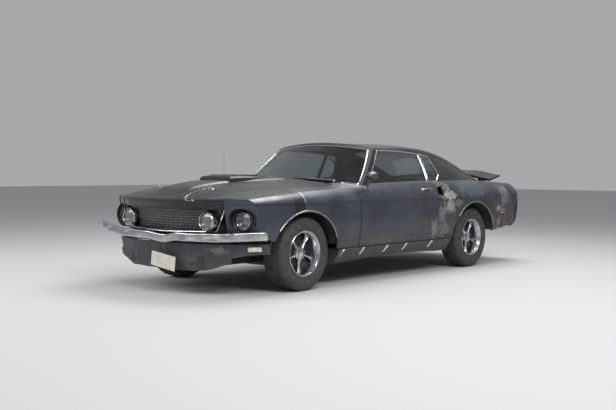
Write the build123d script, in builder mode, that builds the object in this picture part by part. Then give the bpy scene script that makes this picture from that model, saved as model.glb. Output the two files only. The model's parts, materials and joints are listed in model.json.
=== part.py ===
"""A two-door fastback muscle car of the late 1960s, built as separate panels, running gear and cabin pieces.

The frame: X points forward, Y to the car's left, Z up. The origin is on the floor, under the middle of the length.
Sizes are millimetres.
"""

import os

from build123d import *

os.makedirs("parts", exist_ok=True)

# Driving dimensions
LENGTH = 4760
WHEELBASE = 2743
FRONT_OVERHANG = 950
TRACK = 1486
FRONT_AXLE_X = LENGTH / 2 - FRONT_OVERHANG
REAR_AXLE_X = FRONT_AXLE_X - WHEELBASE
TAIL_X = 45 - LENGTH / 2
SKIN = 14
LID_SKIN = 18
SHUT_GAP = 8
LID_GAP = 6
DECK_FRONT_GAP = 10
SEAT_GAP = 0.3
PIN_CLEARANCE = 0.05
FAR = 3000

# Tyres and wheels
TYRE_RADIUS = 322
TYRE_HALF_WIDTH = 112
TYRE_TREAD_HALF_WIDTH = 90
TYRE_SHOULDER = 14
RIM_RADIUS = 180
RIM_LIP_RADIUS = 197
RIM_HALF_WIDTH = 100
RIM_WALL = 9
RIM_LIP_WIDTH = 5
HUB_RADIUS = 58
HUB_FACE_Y = 45
SPOKES = 5
SPOKE_WIDTH = 56
SPOKE_DEPTH = 34
DRUM_RADIUS = 132
SPINDLE_RADIUS = 20
WHEEL_Y = TRACK / 2
KINGPIN_Y = WHEEL_Y - 93
KINGPIN_RADIUS = 12
ARM_SPREAD = 98

# Side openings and their places along the car
DOOR_FRONT_X = 725
DOOR_REAR_X = -555
DOOR_INNER_Y = 735
DOOR_FRONT_INNER_Y = 765
DOOR_BOTTOM_Z = 345
DOOR_HINGE_X = DOOR_FRONT_X - 12
DOOR_HINGE_Y = 903
DOOR_HINGE_RADIUS = 5
SILL_BOTTOM_Z = 215
SILL_TOP_Z = DOOR_BOTTOM_Z - SHUT_GAP
SILL_INNER_Y = 690
JACK_PADS = (880, -720)
JACK_PAD_Y = 745
JACK_PAD_Z = 205
ARCH_HALF_LENGTH = 420
ARCH_FRONT_TOP_Z = 682
ARCH_REAR_TOP_Z = 700
ARCH_CENTRE_Z = 318
ARCH_FRONT_X = FRONT_AXLE_X + 25
ARCH_REAR_X = REAR_AXLE_X + 35
WHEELHOUSE_RADIUS = 440
WHEELHOUSE_WALL = 12
APRON_Y = 455
REAR_WHEELHOUSE_Y = 575

# Floor and its tunnel
FLOOR = 12
FLOOR_Z = 235
TUNNEL_RADIUS = 140
TUNNEL_Z = FLOOR_Z + 25

# Lids and glass
HOOD_REAR_X = 845
HOOD_REAR_Y = 652
HOOD_HINGE_X = 870
HOOD_HINGE_Z = 872
HOOD_HINGE_Y = 560
HOOD_HINGE_RADIUS = 6
DECK_FRONT_X = -1812
DECK_REAR_X = TAIL_X + 8
DECK_HALF_WIDTH = 684
DECK_HINGE_X = -1640
DECK_HINGE_Z = 955
DECK_HINGE_Y = 560
GLASS = 6
ROOF_WALL = 30
COWL_DROP = 75
COWL_HALF_WIDTH = 600
FIREWALL_X = 895
FIREWALL = 15
PILLAR_Y = (690, 758)
WINDSHIELD_FOOT = (790, 900)
WINDSHIELD_HEAD = (268, 1300)
WINDSHIELD_RADIUS = 1200

# Lower body, one row for each section across the car.
# Columns: x, sill y, sill z, lower side y, lower side z, crease y, crease z, shoulder y, shoulder z, middle z
BODY_SECTIONS = (
    (LENGTH / 2 + 40, 690, 330, 760, 470, 770, 700, 640, 728, 745),
    (2060, 780, 280, 868, 450, 874, 758, 790, 806, 882),
    (FRONT_AXLE_X, 800, SILL_BOTTOM_Z, 893, 450, 900, 753, 810, 848, 938),
    (DOOR_FRONT_X, 800, SILL_BOTTOM_Z, 898, 450, 904, 747, 808, 880, 955),
    (DOOR_REAR_X, 800, SILL_BOTTOM_Z, 900, 450, 907, 757, 808, 918, 968),
    (REAR_AXLE_X, 800, SILL_BOTTOM_Z, 908, 450, 912, 775, 800, 925, 968),
    (-1900, 780, 290, 895, 470, 900, 785, 770, 912, 942),
    (TAIL_X - 10, 740, 370, 850, 490, 862, 780, 740, 893, 915),
)

# Greenhouse, one row for each section across the car.
# Columns: x, base y, rail y, rail z, middle z
ROOF_BASE_Z = 840
ROOF_SECTIONS = (
    (900, 770, 655, 1228, 1285),
    (250, 775, 616, 1250, 1308),
    (-400, 778, 608, 1256, 1314),
    (-950, 772, 594, 1212, 1284),
    (-1500, 745, 602, 1052, 1128),
    (-1850, 715, 640, 918, 956),
)

# Side window outlines in side view, (x, z)
DOOR_WINDOW = ((440, 870), (440, 905), (110, 1236), (-250, 1236), (-596, 1214), (-596, 870))
QUARTER_WINDOW = ((-612, 870), (-612, 1212), (-775, 1182), (-852, 992), (-700, 870))
WINDOW_FRAME = 6

# Plan outline of the nose at one height, and how far it leans forward for each millimetre up
NOSE_Z = 742
NOSE_LEAN = 0.19
NOSE_CENTRE_X = 2335
NOSE_MIDDLE = (2280, 487)
NOSE_CORNER = (2120, 770)
NOSE_END = (2000, 980)


def bow(start, end, sag):
    """An arc from start to end that stands sag out to the right of that direction."""
    run = Vector(*end) - Vector(*start)
    middle = (Vector(*start) + Vector(*end)) / 2
    out = Vector(run.Y, -run.X).normalized()
    return ThreePointArc(start, middle + out * sag, end)


def mirrored(points):
    """The same points on the other side of the car's middle, in the order that carries on round the section."""
    return [(-y, z) for y, z in reversed(points)]


def body_form(inset):
    """The lower body as one solid, taken in by inset on all its outside faces."""
    with BuildPart() as form:
        for x, y_sill, z_sill, y_low, z_low, y_crease, z_crease, y_top, z_top, z_mid in BODY_SECTIONS:
            sill = (y_sill - inset, z_sill + inset)
            low = (y_low - inset, z_low)
            crease = (y_crease - inset, z_crease)
            top = (y_top - inset, z_top - inset)
            left = [sill, low, crease, top]
            right = mirrored(left)
            with BuildSketch(Plane.YZ.offset(x)):
                with BuildLine():
                    Line(right[-1], left[0])
                    bow(left[0], left[1], 22)
                    bow(left[1], left[2], 9)
                    bow(left[2], left[3], 14)
                    ThreePointArc(left[3], (0, z_mid - inset), right[0])
                    bow(right[0], right[1], 14)
                    bow(right[1], right[2], 9)
                    bow(right[2], right[3], 22)
                make_face()
        loft()
    return form.part


def roof_form(inset):
    """The greenhouse as one solid, taken in by inset on its sides and top."""
    with BuildPart() as form:
        for x, y_base, y_rail, z_rail, z_mid in ROOF_SECTIONS:
            base = (y_base - inset, ROOF_BASE_Z)
            side = (y_rail + 14 - inset, z_rail - 38 - inset / 2)
            crown = (y_rail - 48 - inset / 2, z_rail + 16 - inset)
            corner = (y_rail - 6 - inset * 0.8, z_rail - 5 - inset * 0.8)
            left = [base, side, corner, crown]
            right = mirrored(left)
            with BuildSketch(Plane.YZ.offset(x)):
                with BuildLine():
                    Line(right[-1], left[0])
                    bow(left[0], left[1], 12)
                    ThreePointArc(left[1], left[2], left[3])
                    ThreePointArc(left[3], (0, z_mid - inset), right[0])
                    ThreePointArc(right[0], right[1], right[2])
                    bow(right[2], right[3], 12)
                make_face()
        loft()
    return form.part


def side_slab(points, y_from, y_to, inset=0):
    """A solid with a side-view outline, made smaller by inset, between two places across the car."""
    with BuildPart() as slab:
        with BuildSketch(Plane.XZ.offset(-y_to)):
            with BuildLine():
                Polyline(*points, close=True)
            make_face()
            if inset:
                offset(amount=-inset, kind=Kind.INTERSECTION, mode=Mode.REPLACE)
        extrude(amount=y_to - y_from)
    return slab.part


def block(x, y, z):
    """A box given by its (low, high) pairs along the three axes."""
    with BuildPart(Plane(((x[0] + x[1]) / 2, (y[0] + y[1]) / 2, (z[0] + z[1]) / 2))) as made:
        Box(x[1] - x[0], y[1] - y[0], z[1] - z[0])
    return made.part


def round_bar(start, end, radius):
    """A round bar from start to end."""
    run = Vector(*end) - Vector(*start)
    with BuildPart() as bar:
        with BuildSketch(Plane(start, z_dir=run)):
            Circle(radius)
        extrude(amount=run.length)
    return bar.part


def nose_zone(setback):
    """Everything behind the leaning front line of the nose, set back from it along the car."""
    low_z = 150
    back = setback + (NOSE_Z - low_z) * NOSE_LEAN
    with BuildPart() as zone:
        with BuildSketch(Plane.XY.offset(low_z)):
            with BuildLine():
                middle = Vector(*NOSE_MIDDLE) - Vector(back, 0)
                corner = Vector(*NOSE_CORNER) - Vector(back, 0)
                end = Vector(*NOSE_END) - Vector(back, 0)
                flip = [Vector(p.X, -p.Y) for p in (end, corner, middle)]
                ThreePointArc(flip[2], (NOSE_CENTRE_X - back, 0), middle)
                Polyline(middle, corner, end, (-FAR, end.Y), (-FAR, -end.Y), flip[0], flip[1], flip[2])
            make_face()
        extrude(amount=1000, dir=Vector(NOSE_LEAN, 0, 1))
    return zone.part


def hood_plan(gap):
    """The hood's outline from above, grown by gap at its sides and back."""
    with BuildPart() as plan:
        with BuildSketch(Plane.XY.offset(600)):
            with BuildLine():
                rear = (HOOD_REAR_X - gap, HOOD_REAR_Y + gap)
                side = ThreePointArc(rear, (1733, 620 + gap), (2198, 540 + gap))
                front = (2450, 415 + gap)
                Polyline(side @ 1, front, (front[0], -front[1]), ((side @ 1).X, -(side @ 1).Y))
                mirror(side, about=Plane.XZ)
                Line(rear, (rear[0], -rear[1]))
            make_face()
        extrude(amount=600)
    return plan.part


def windshield_slab(front, back):
    """A slab of the leaning, curved windshield surface between two distances ahead of it along the car."""
    low_z = 700
    foot = Vector(WINDSHIELD_FOOT[0], 0, WINDSHIELD_FOOT[1])
    lean = Vector(WINDSHIELD_HEAD[0], 0, WINDSHIELD_HEAD[1]) - foot
    centre_x = foot.X + lean.X * (low_z - foot.Z) / lean.Z
    half = 900
    drop = WINDSHIELD_RADIUS - (WINDSHIELD_RADIUS**2 - half**2) ** 0.5
    with BuildPart() as slab:
        with BuildSketch(Plane.XY.offset(low_z)):
            with BuildLine():
                ahead = centre_x + front
                behind = centre_x + back
                ThreePointArc((ahead - drop, -half), (ahead, 0), (ahead - drop, half))
                Line((ahead - drop, half), (behind - drop, half))
                ThreePointArc((behind - drop, half), (behind, 0), (behind - drop, -half))
                Line((behind - drop, -half), (ahead - drop, -half))
            make_face()
        extrude(amount=1300, dir=lean)
    return slab.part


def twin(part):
    """The same piece on the other side of the car."""
    with BuildPart() as other:
        mirror(part, about=Plane.XZ)
    return other.part


def save(part, name):
    """Names a finished piece and writes its file."""
    part.label = name
    export_step(part, f"parts/{name}.step")


body_skin = body_form(0)
body_inner = body_form(SKIN)
lid_inner = body_form(LID_SKIN)
roof_skin = roof_form(0)
roof_inner = roof_form(ROOF_WALL)
nose = nose_zone(0)

# Front fender, from the door to the lamp, with its open wheel arch
fender_outline = (
    (DOOR_FRONT_X + SHUT_GAP, DOOR_BOTTOM_Z),
    (ARCH_FRONT_X, DOOR_BOTTOM_Z),
    (ARCH_FRONT_X + ARCH_HALF_LENGTH, 455),
    (1925, 468),
    (1945, 522),
    (2450, 522),
    (2450, 1000),
    (DOOR_FRONT_X + SHUT_GAP, 1000),
)
hood_hole = hood_plan(LID_GAP)
with BuildPart() as fender:
    add(body_skin)
    add(body_inner, mode=Mode.SUBTRACT)
    with BuildSketch(Plane.XZ.offset(-1000)):
        with BuildLine():
            Polyline(*fender_outline, close=True)
        make_face()
        with Locations((ARCH_FRONT_X, ARCH_CENTRE_Z)):
            Ellipse(ARCH_HALF_LENGTH, ARCH_FRONT_TOP_Z - ARCH_CENTRE_Z, mode=Mode.SUBTRACT)
    extrude(amount=1000, mode=Mode.INTERSECT)
    add(nose, mode=Mode.INTERSECT)
    add(hood_hole, mode=Mode.SUBTRACT)
    add(block((0, HOOD_REAR_X), (0, HOOD_REAR_Y + LID_GAP), (0, 1200)), mode=Mode.SUBTRACT)
save(fender.part, "fender_left")
save(twin(fender.part), "fender_right")

# Sill under the door
with BuildPart() as rocker:
    add(body_skin)
    sill_ends = (ARCH_REAR_X + ARCH_HALF_LENGTH + 12, ARCH_FRONT_X - ARCH_HALF_LENGTH - 35)
    add(block(sill_ends, (SILL_INNER_Y, 1000), (0, SILL_TOP_Z)), mode=Mode.INTERSECT)
    for x in JACK_PADS:
        add(block((x - 60, x + 60), (JACK_PAD_Y - 30, JACK_PAD_Y + 30), (JACK_PAD_Z, SILL_BOTTOM_Z + 20)))
save(rocker.part, "rocker_left")
save(twin(rocker.part), "rocker_right")

# Rear quarter panel with its wheel arch and side scoop
quarter_outline = (
    (DOOR_REAR_X - SHUT_GAP, DOOR_BOTTOM_Z),
    (ARCH_REAR_X, DOOR_BOTTOM_Z),
    (ARCH_REAR_X - ARCH_HALF_LENGTH, 375),
    (TAIL_X, 430),
    (TAIL_X, 1000),
    (DOOR_REAR_X - SHUT_GAP, 1000),
)
SIDE_SCOOP = ((-605, 800), (-605, 862), (-722, 890), (-712, 776))
with BuildPart() as quarter:
    add(body_skin)
    add(body_inner, mode=Mode.SUBTRACT)
    with BuildSketch(Plane.XZ.offset(-1000)):
        with BuildLine():
            Polyline(*quarter_outline, close=True)
        make_face()
        with Locations((ARCH_REAR_X, ARCH_CENTRE_Z)):
            Ellipse(ARCH_HALF_LENGTH, ARCH_REAR_TOP_Z - ARCH_CENTRE_Z, mode=Mode.SUBTRACT)
        with BuildLine():
            Polyline(*SIDE_SCOOP, close=True)
        make_face(mode=Mode.SUBTRACT)
    extrude(amount=1000 - DECK_HALF_WIDTH - LID_GAP, mode=Mode.INTERSECT)
save(quarter.part, "quarter_left")
save(twin(quarter.part), "quarter_right")

# Door with its hinge pockets
door_outline = (
    (DOOR_FRONT_X, DOOR_BOTTOM_Z),
    (DOOR_FRONT_X, 1000),
    (DOOR_REAR_X, 1000),
    (DOOR_REAR_X, DOOR_BOTTOM_Z),
)
HINGE_HEIGHTS = (570, 680)
HINGE_ARM = 16
HINGE_PIN = 64
with BuildPart() as door:
    add(body_skin)
    add(side_slab(door_outline, DOOR_INNER_Y, 1000), mode=Mode.INTERSECT)
    add(block((400, DOOR_FRONT_X), (0, DOOR_FRONT_INNER_Y), (0, 1200)), mode=Mode.SUBTRACT)
    for z in HINGE_HEIGHTS:
        pocket = (z - HINGE_ARM / 2 - 7, z + HINGE_ARM / 2 + 7)
        notch = block((DOOR_HINGE_X - 14, DOOR_FRONT_X), (0, DOOR_HINGE_Y + 4), pocket)
        add(notch, mode=Mode.SUBTRACT)
        bore = round_bar(
            (DOOR_HINGE_X, DOOR_HINGE_Y, z - HINGE_PIN / 2 - 1),
            (DOOR_HINGE_X, DOOR_HINGE_Y, z + HINGE_PIN / 2 + 1),
            DOOR_HINGE_RADIUS + PIN_CLEARANCE,
        )
        add(bore, mode=Mode.SUBTRACT)
save(door.part, "door_left")
save(twin(door.part), "door_right")

# Hood with its hinge lugs
with BuildPart() as hood:
    add(body_skin)
    add(lid_inner, mode=Mode.SUBTRACT)
    add(hood_plan(0), mode=Mode.INTERSECT)
    add(nose, mode=Mode.INTERSECT)
    for side in (-1, 1):
        y = side * HOOD_HINGE_Y
        lug = block((HOOD_HINGE_X - 12, HOOD_HINGE_X + 12), (y - 10, y + 10), (HOOD_HINGE_Z - 12, HOOD_HINGE_Z + 26))
        add(lug)
        bore = round_bar((HOOD_HINGE_X, y - 20, HOOD_HINGE_Z), (HOOD_HINGE_X, y + 20, HOOD_HINGE_Z), HOOD_HINGE_RADIUS + PIN_CLEARANCE)
        add(bore, mode=Mode.SUBTRACT)
save(hood.part, "hood")

# Deck lid with its gooseneck hinge arms
NECK = ((0, 0), (-62, -160), (-140, -190), (-205, -110), (-212, -40))
with BuildPart() as deck:
    add(body_skin)
    add(lid_inner, mode=Mode.SUBTRACT)
    add(block((DECK_REAR_X, DECK_FRONT_X), (-DECK_HALF_WIDTH, DECK_HALF_WIDTH), (700, 1200)), mode=Mode.INTERSECT)
    for side in (-1, 1):
        with BuildSketch(Plane.XZ.offset(-side * DECK_HINGE_Y)):
            with BuildLine():
                FilletPolyline(*[(DECK_HINGE_X + x, DECK_HINGE_Z + z) for x, z in NECK], radius=40)
            trace(line_width=16)
            with Locations((DECK_HINGE_X, DECK_HINGE_Z)):
                Circle(14)
        extrude(amount=8, both=True)
        bore = round_bar((DECK_HINGE_X, side * DECK_HINGE_Y - 20, DECK_HINGE_Z), (DECK_HINGE_X, side * DECK_HINGE_Y + 20, DECK_HINGE_Z), HOOD_HINGE_RADIUS + PIN_CLEARANCE)
        add(bore, mode=Mode.SUBTRACT)
save(deck.part, "deck_lid")

# Roof with its pillars and sail panels
def backlight(gap):
    """The rear window's outline from above, made smaller by gap."""
    with BuildPart() as hole:
        with BuildSketch(Plane.XY.offset(700)):
            with BuildLine():
                FilletPolyline(
                    (-905 - gap, 515 - gap),
                    (-1760 + gap, 545 - gap),
                    (-1760 + gap, gap - 545),
                    (-905 - gap, gap - 515),
                    radius=60,
                    close=True,
                )
            make_face()
        extrude(amount=800)
    return hole.part


with BuildPart() as roof:
    add(roof_skin)
    add(roof_inner, mode=Mode.SUBTRACT)
    add(body_skin, mode=Mode.SUBTRACT)
    add(windshield_slab(1200, 0), mode=Mode.SUBTRACT)
    add(side_slab(DOOR_WINDOW, -FAR, FAR), mode=Mode.SUBTRACT)
    add(side_slab(QUARTER_WINDOW, -FAR, FAR), mode=Mode.SUBTRACT)
    add(backlight(0), mode=Mode.SUBTRACT)
    add(block((-FAR, DECK_FRONT_X + DECK_FRONT_GAP), (-FAR, FAR), (0, 2000)), mode=Mode.SUBTRACT)
save(roof.part, "roof_shell")

# Window glass
pane_outer = roof_form(GLASS)
pane_inner = roof_form(2 * GLASS)
with BuildPart() as door_glass:
    add(pane_outer)
    add(pane_inner, mode=Mode.SUBTRACT)
    add(side_slab(DOOR_WINDOW, 300, 1000, WINDOW_FRAME), mode=Mode.INTERSECT)
    add(body_skin, mode=Mode.SUBTRACT)
save(door_glass.part, "door_glass_left")
save(twin(door_glass.part), "door_glass_right")

with BuildPart() as quarter_glass:
    add(pane_outer)
    add(pane_inner, mode=Mode.SUBTRACT)
    add(side_slab(QUARTER_WINDOW, 300, 1000, SEAT_GAP), mode=Mode.INTERSECT)
    add(body_skin, mode=Mode.SUBTRACT)
    mirror(about=Plane.XZ)
save(quarter_glass.part, "quarter_glass")

glass_room = roof_form(ROOF_WALL + SEAT_GAP)
shoulder_left = block((0, 1000), (COWL_HALF_WIDTH - 12 - SEAT_GAP, 1000), (0, 1200))
cowl_top = body_form(COWL_DROP - SEAT_GAP)
with BuildPart() as windshield_room:
    add(body_skin)
    add(shoulder_left, mode=Mode.INTERSECT)
    mirror(about=Plane.XZ)
    add(cowl_top)
with BuildPart() as windshield:
    add(windshield_slab(0, -1.6 * GLASS))
    add(glass_room, mode=Mode.INTERSECT)
    add(windshield_room.part, mode=Mode.SUBTRACT)
save(windshield.part, "windshield")

with BuildPart() as rear_window:
    add(pane_outer)
    add(pane_inner, mode=Mode.SUBTRACT)
    add(backlight(SEAT_GAP), mode=Mode.INTERSECT)
save(rear_window.part, "rear_window")

# Cowl, firewall and hinge pillars
with BuildPart() as cowl:
    add(body_form(COWL_DROP))
    add(body_form(COWL_DROP + 15), mode=Mode.SUBTRACT)
    add(block((540, FIREWALL_X + FIREWALL), (-COWL_HALF_WIDTH, COWL_HALF_WIDTH), (700, 1200)), mode=Mode.INTERSECT)
    add(block((FIREWALL_X, FIREWALL_X + FIREWALL), (-PILLAR_Y[0], PILLAR_Y[0]), (250, 850)))
with BuildPart() as cowl_side:
    add(body_skin)
    add(body_form(LID_SKIN), mode=Mode.SUBTRACT)
    with BuildSketch(Plane.XY.offset(700)):
        with BuildLine():
            Polyline(
                (540, COWL_HALF_WIDTH - 12),
                (820, COWL_HALF_WIDTH - 12),
                (820, HOOD_REAR_Y),
                (DOOR_FRONT_X - 3, HOOD_REAR_Y),
                (DOOR_FRONT_X - 3, PILLAR_Y[1]),
                (480, PILLAR_Y[1]),
                (480, PILLAR_Y[0]),
                (540, PILLAR_Y[0]),
                close=True,
            )
        make_face()
    extrude(amount=500, mode=Mode.INTERSECT)
with BuildPart() as cowl_walls:
    add(block((540, 820), (COWL_HALF_WIDTH - 12, COWL_HALF_WIDTH), (780, 1000)))
    add(block((560, DOOR_FRONT_X - 3), PILLAR_Y, (SILL_TOP_Z, 1000)))
    add(block((DOOR_FRONT_X - 3, FIREWALL_X + FIREWALL), (PILLAR_Y[0], PILLAR_Y[0] + 14), (SILL_TOP_Z, 850)))
    add(body_inner, mode=Mode.INTERSECT)
    add(cowl_side.part)
    for z in HINGE_HEIGHTS:
        add(block((DOOR_HINGE_X - 5, DOOR_HINGE_X + 5), (PILLAR_Y[1] - 5, DOOR_HINGE_Y - 6), (z - HINGE_ARM / 2, z + HINGE_ARM / 2)))
        foot = (DOOR_HINGE_X, DOOR_HINGE_Y, z - HINGE_PIN / 2)
        head = (DOOR_HINGE_X, DOOR_HINGE_Y, z + HINGE_PIN / 2)
        add(round_bar(foot, head, DOOR_HINGE_RADIUS))
    outer = HOOD_HINGE_Y + 28
    add(block((HOOD_HINGE_X - 12, FIREWALL_X + 5), (outer - 12, outer), (780, HOOD_HINGE_Z + 12)))
    add(round_bar((HOOD_HINGE_X, HOOD_HINGE_Y - 15, HOOD_HINGE_Z), (HOOD_HINGE_X, outer, HOOD_HINGE_Z), HOOD_HINGE_RADIUS))
    mirror(about=Plane.XZ)
    add(cowl.part)
    tunnel_mouth = (FIREWALL_X - 10, 0, TUNNEL_Z), (FIREWALL_X + FIREWALL + 10, 0, TUNNEL_Z)
    add(round_bar(*tunnel_mouth, TUNNEL_RADIUS - FLOOR), mode=Mode.SUBTRACT)
save(cowl_walls.part, "cowl")

# Shelf behind the rear seat, with the deck lid's hinge pins
with BuildPart() as hinge_posts:
    for side in (-1, 1):
        ends = sorted((side * (DECK_HINGE_Y + 14), side * (DECK_HINGE_Y + 28)))
        add(block((DECK_HINGE_X - 16, -1600), ends, (868, DECK_HINGE_Z + 16)))
        inner = (DECK_HINGE_X, side * (DECK_HINGE_Y - 12), DECK_HINGE_Z)
        outer = (DECK_HINGE_X, side * (DECK_HINGE_Y + 28), DECK_HINGE_Z)
        add(round_bar(inner, outer, HOOD_HINGE_RADIUS))
    add(roof_form(ROOF_WALL + 1), mode=Mode.INTERSECT)
with BuildPart() as shelf:
    add(body_inner)
    add(block((-1620, -1100), (-FAR, FAR), (868, 882)), mode=Mode.INTERSECT)
    add(hinge_posts.part)
save(shelf.part, "rear_shelf")

# Floor with its tunnel, raised over the rear axle
with BuildPart() as floor:
    with BuildSketch(Plane.XZ):
        with BuildLine():
            Polyline((FIREWALL_X + 8, 400), (770, FLOOR_Z), (-540, FLOOR_Z), (-690, 400), (-930, 430), (TAIL_X + 30, 430))
        trace(line_width=FLOOR)
    extrude(amount=SILL_INNER_Y, both=True)
    add(block((-FAR, ARCH_REAR_X + WHEELHOUSE_RADIUS + 2), (REAR_WHEELHOUSE_Y - 12, FAR), (0, 900)), mode=Mode.SUBTRACT)
    add(block((-FAR, ARCH_REAR_X + WHEELHOUSE_RADIUS + 2), (-FAR, 12 - REAR_WHEELHOUSE_Y), (0, 900)), mode=Mode.SUBTRACT)
    add(block((FIREWALL_X, FAR), (-FAR, FAR), (0, 900)), mode=Mode.SUBTRACT)
    add(round_bar((FIREWALL_X, 0, TUNNEL_Z), (-690, 0, TUNNEL_Z), TUNNEL_RADIUS))
    add(round_bar((FIREWALL_X + 10, 0, TUNNEL_Z), (-900, 0, TUNNEL_Z), TUNNEL_RADIUS - FLOOR), mode=Mode.SUBTRACT)
    add(block((-770, 2000), (-FAR, FAR), (0, FLOOR_Z - FLOOR / 2)), mode=Mode.SUBTRACT)
save(floor.part, "floor_pan")

# Front aprons with the wheelhouses and rails
with BuildPart() as apron:
    add(round_bar((ARCH_FRONT_X, APRON_Y - 5, ARCH_CENTRE_Z), (ARCH_FRONT_X, 1000, ARCH_CENTRE_Z), WHEELHOUSE_RADIUS))
    add(round_bar((ARCH_FRONT_X, APRON_Y - 5, ARCH_CENTRE_Z), (ARCH_FRONT_X, 1000, ARCH_CENTRE_Z), WHEELHOUSE_RADIUS - WHEELHOUSE_WALL), mode=Mode.SUBTRACT)
    add(block((0, FAR), (0, 1000), (DOOR_BOTTOM_Z + 40, 2000)), mode=Mode.INTERSECT)
    add(body_inner, mode=Mode.INTERSECT)
    add(block((FIREWALL_X + FIREWALL, 2040), (APRON_Y - 15, APRON_Y), (300, 790)))
    add(block((FIREWALL_X + FIREWALL, 2262), (APRON_Y - 55, APRON_Y), (238, 330)))
    add(block((2030, 2290.5), (APRON_Y - 50, APRON_Y - 5), (446, 480)))
    mirror(about=Plane.XZ)

# Front valance with the chin spoiler under it
VALANCE = ((1905, 868), (2190, 700), (2290, 350), (2312, 0))
VALANCE_RADIUS = 250
valance_path = list(VALANCE) + [(x, -y) for x, y in reversed(VALANCE[:-1])]
with BuildPart() as valance_slot:
    with BuildSketch(Plane.XY.offset(200)):
        with BuildLine():
            FilletPolyline(*valance_path, radius=VALANCE_RADIUS)
        trace(line_width=SKIN + 2 * SEAT_GAP)
    extrude(amount=235)
with BuildPart() as valance:
    with BuildSketch(Plane.XY.offset(262)):
        with BuildLine():
            FilletPolyline(*valance_path, radius=VALANCE_RADIUS)
        trace(line_width=SKIN)
    extrude(amount=168)
    with BuildSketch(Plane.XY.offset(275)):
        with BuildLine():
            FilletPolyline(*valance_path[1:-1], radius=VALANCE_RADIUS)
        trace(line_width=SKIN - 2)
    extrude(amount=70, dir=Vector(0.05, 0, -1))
save(valance.part, "front_valance")
with BuildPart() as aprons:
    add(apron.part)
    add(valance_slot.part, mode=Mode.SUBTRACT)
save(aprons.part, "front_aprons")

# Rear wheelhouses
with BuildPart() as wheelhouse:
    add(round_bar((ARCH_REAR_X, REAR_WHEELHOUSE_Y - 12, ARCH_CENTRE_Z), (ARCH_REAR_X, 1000, ARCH_CENTRE_Z), WHEELHOUSE_RADIUS))
    add(round_bar((ARCH_REAR_X, REAR_WHEELHOUSE_Y, ARCH_CENTRE_Z), (ARCH_REAR_X, 1000, ARCH_CENTRE_Z), WHEELHOUSE_RADIUS - WHEELHOUSE_WALL), mode=Mode.SUBTRACT)
    add(block((-FAR, 0), (0, 1000), (DOOR_BOTTOM_Z + 40, 2000)), mode=Mode.INTERSECT)
    add(body_inner, mode=Mode.INTERSECT)
    mirror(about=Plane.XZ)
save(wheelhouse.part, "rear_wheelhouses")

# Tail panel and its lamps
LAMP_PLACES = (430, 520, 610)
with BuildPart() as tail:
    add(body_inner)
    add(block((TAIL_X, TAIL_X + 22), (-FAR, FAR), (400, 862)), mode=Mode.INTERSECT)
    with BuildSketch(Plane.YZ.offset(TAIL_X)):
        with Locations(*[(side * y, 745) for y in LAMP_PLACES for side in (-1, 1)]):
            RectangleRounded(64, 128, 10)
    extrude(amount=12, mode=Mode.SUBTRACT)
save(tail.part, "tail_panel")
with BuildPart() as tail_lamps:
    with BuildSketch(Plane.YZ.offset(TAIL_X + 12)):
        with Locations(*[(side * y, 745) for y in LAMP_PLACES for side in (-1, 1)]):
            RectangleRounded(63, 127, 10)
    extrude(amount=-20)
save(tail_lamps.part, "tail_lamps")

# Grille: a fine grid set back in a frame, with holes for the inner lamps
INNER_LAMP = (494, 616)
OUTER_LAMP = (755, 622)
LAMP_RADIUS = 72
GRILLE_TOP = (633, 722)
GRILLE_FOOT = (550, 531)
GRILLE_POINT_Z = 515
grille_outline = (
    GRILLE_TOP,
    GRILLE_FOOT,
    (0, GRILLE_POINT_Z),
    (-GRILLE_FOOT[0], GRILLE_FOOT[1]),
    (-GRILLE_TOP[0], GRILLE_TOP[1]),
)
mesh_front = nose_zone(70)
mesh_back = nose_zone(84)
frame_front = nose_zone(40)
frame_back = nose_zone(100)
with BuildPart() as grille:
    with BuildSketch(Plane.YZ.offset(1900)):
        with BuildLine():
            Polyline(*grille_outline, close=True)
        make_face()
        with GridLocations(60, 30, 22, 7):
            Rectangle(52, 22, mode=Mode.SUBTRACT)
        with Locations(*[(side * INNER_LAMP[0], INNER_LAMP[1]) for side in (-1, 1)]):
            Circle(LAMP_RADIUS + 16)
            Circle(LAMP_RADIUS + SEAT_GAP, mode=Mode.SUBTRACT)
    extrude(amount=600)
    add(mesh_front, mode=Mode.INTERSECT)
    add(mesh_back, mode=Mode.SUBTRACT)
with BuildPart() as grille_frame:
    with BuildSketch(Plane.YZ.offset(1900)):
        with BuildLine():
            Polyline(*grille_outline, close=True)
        make_face()
        offset(amount=-12, kind=Kind.INTERSECTION, mode=Mode.SUBTRACT)
    extrude(amount=600)
    add(frame_front, mode=Mode.INTERSECT)
    add(frame_back, mode=Mode.SUBTRACT)
    add(grille.part)
save(grille_frame.part, "grille")

# Recessed panels that hold the outer lamps
PANEL_X = (2040, 2054)
panel_front = nose_zone(12)
with BuildPart() as lamp_panel:
    add(block((PANEL_X[0], 2400), (GRILLE_TOP[0] + SEAT_GAP, GRILLE_TOP[0] + SKIN), (520, 728)))
    add(block(PANEL_X, (GRILLE_TOP[0] + SEAT_GAP, 1000), (520, 735)))
    add(body_inner, mode=Mode.INTERSECT)
    add(panel_front, mode=Mode.INTERSECT)
    add(round_bar((2000, *OUTER_LAMP), (2100, *OUTER_LAMP), LAMP_RADIUS + SEAT_GAP), mode=Mode.SUBTRACT)
    mirror(about=Plane.XZ)
save(lamp_panel.part, "headlamp_panels")

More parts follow.
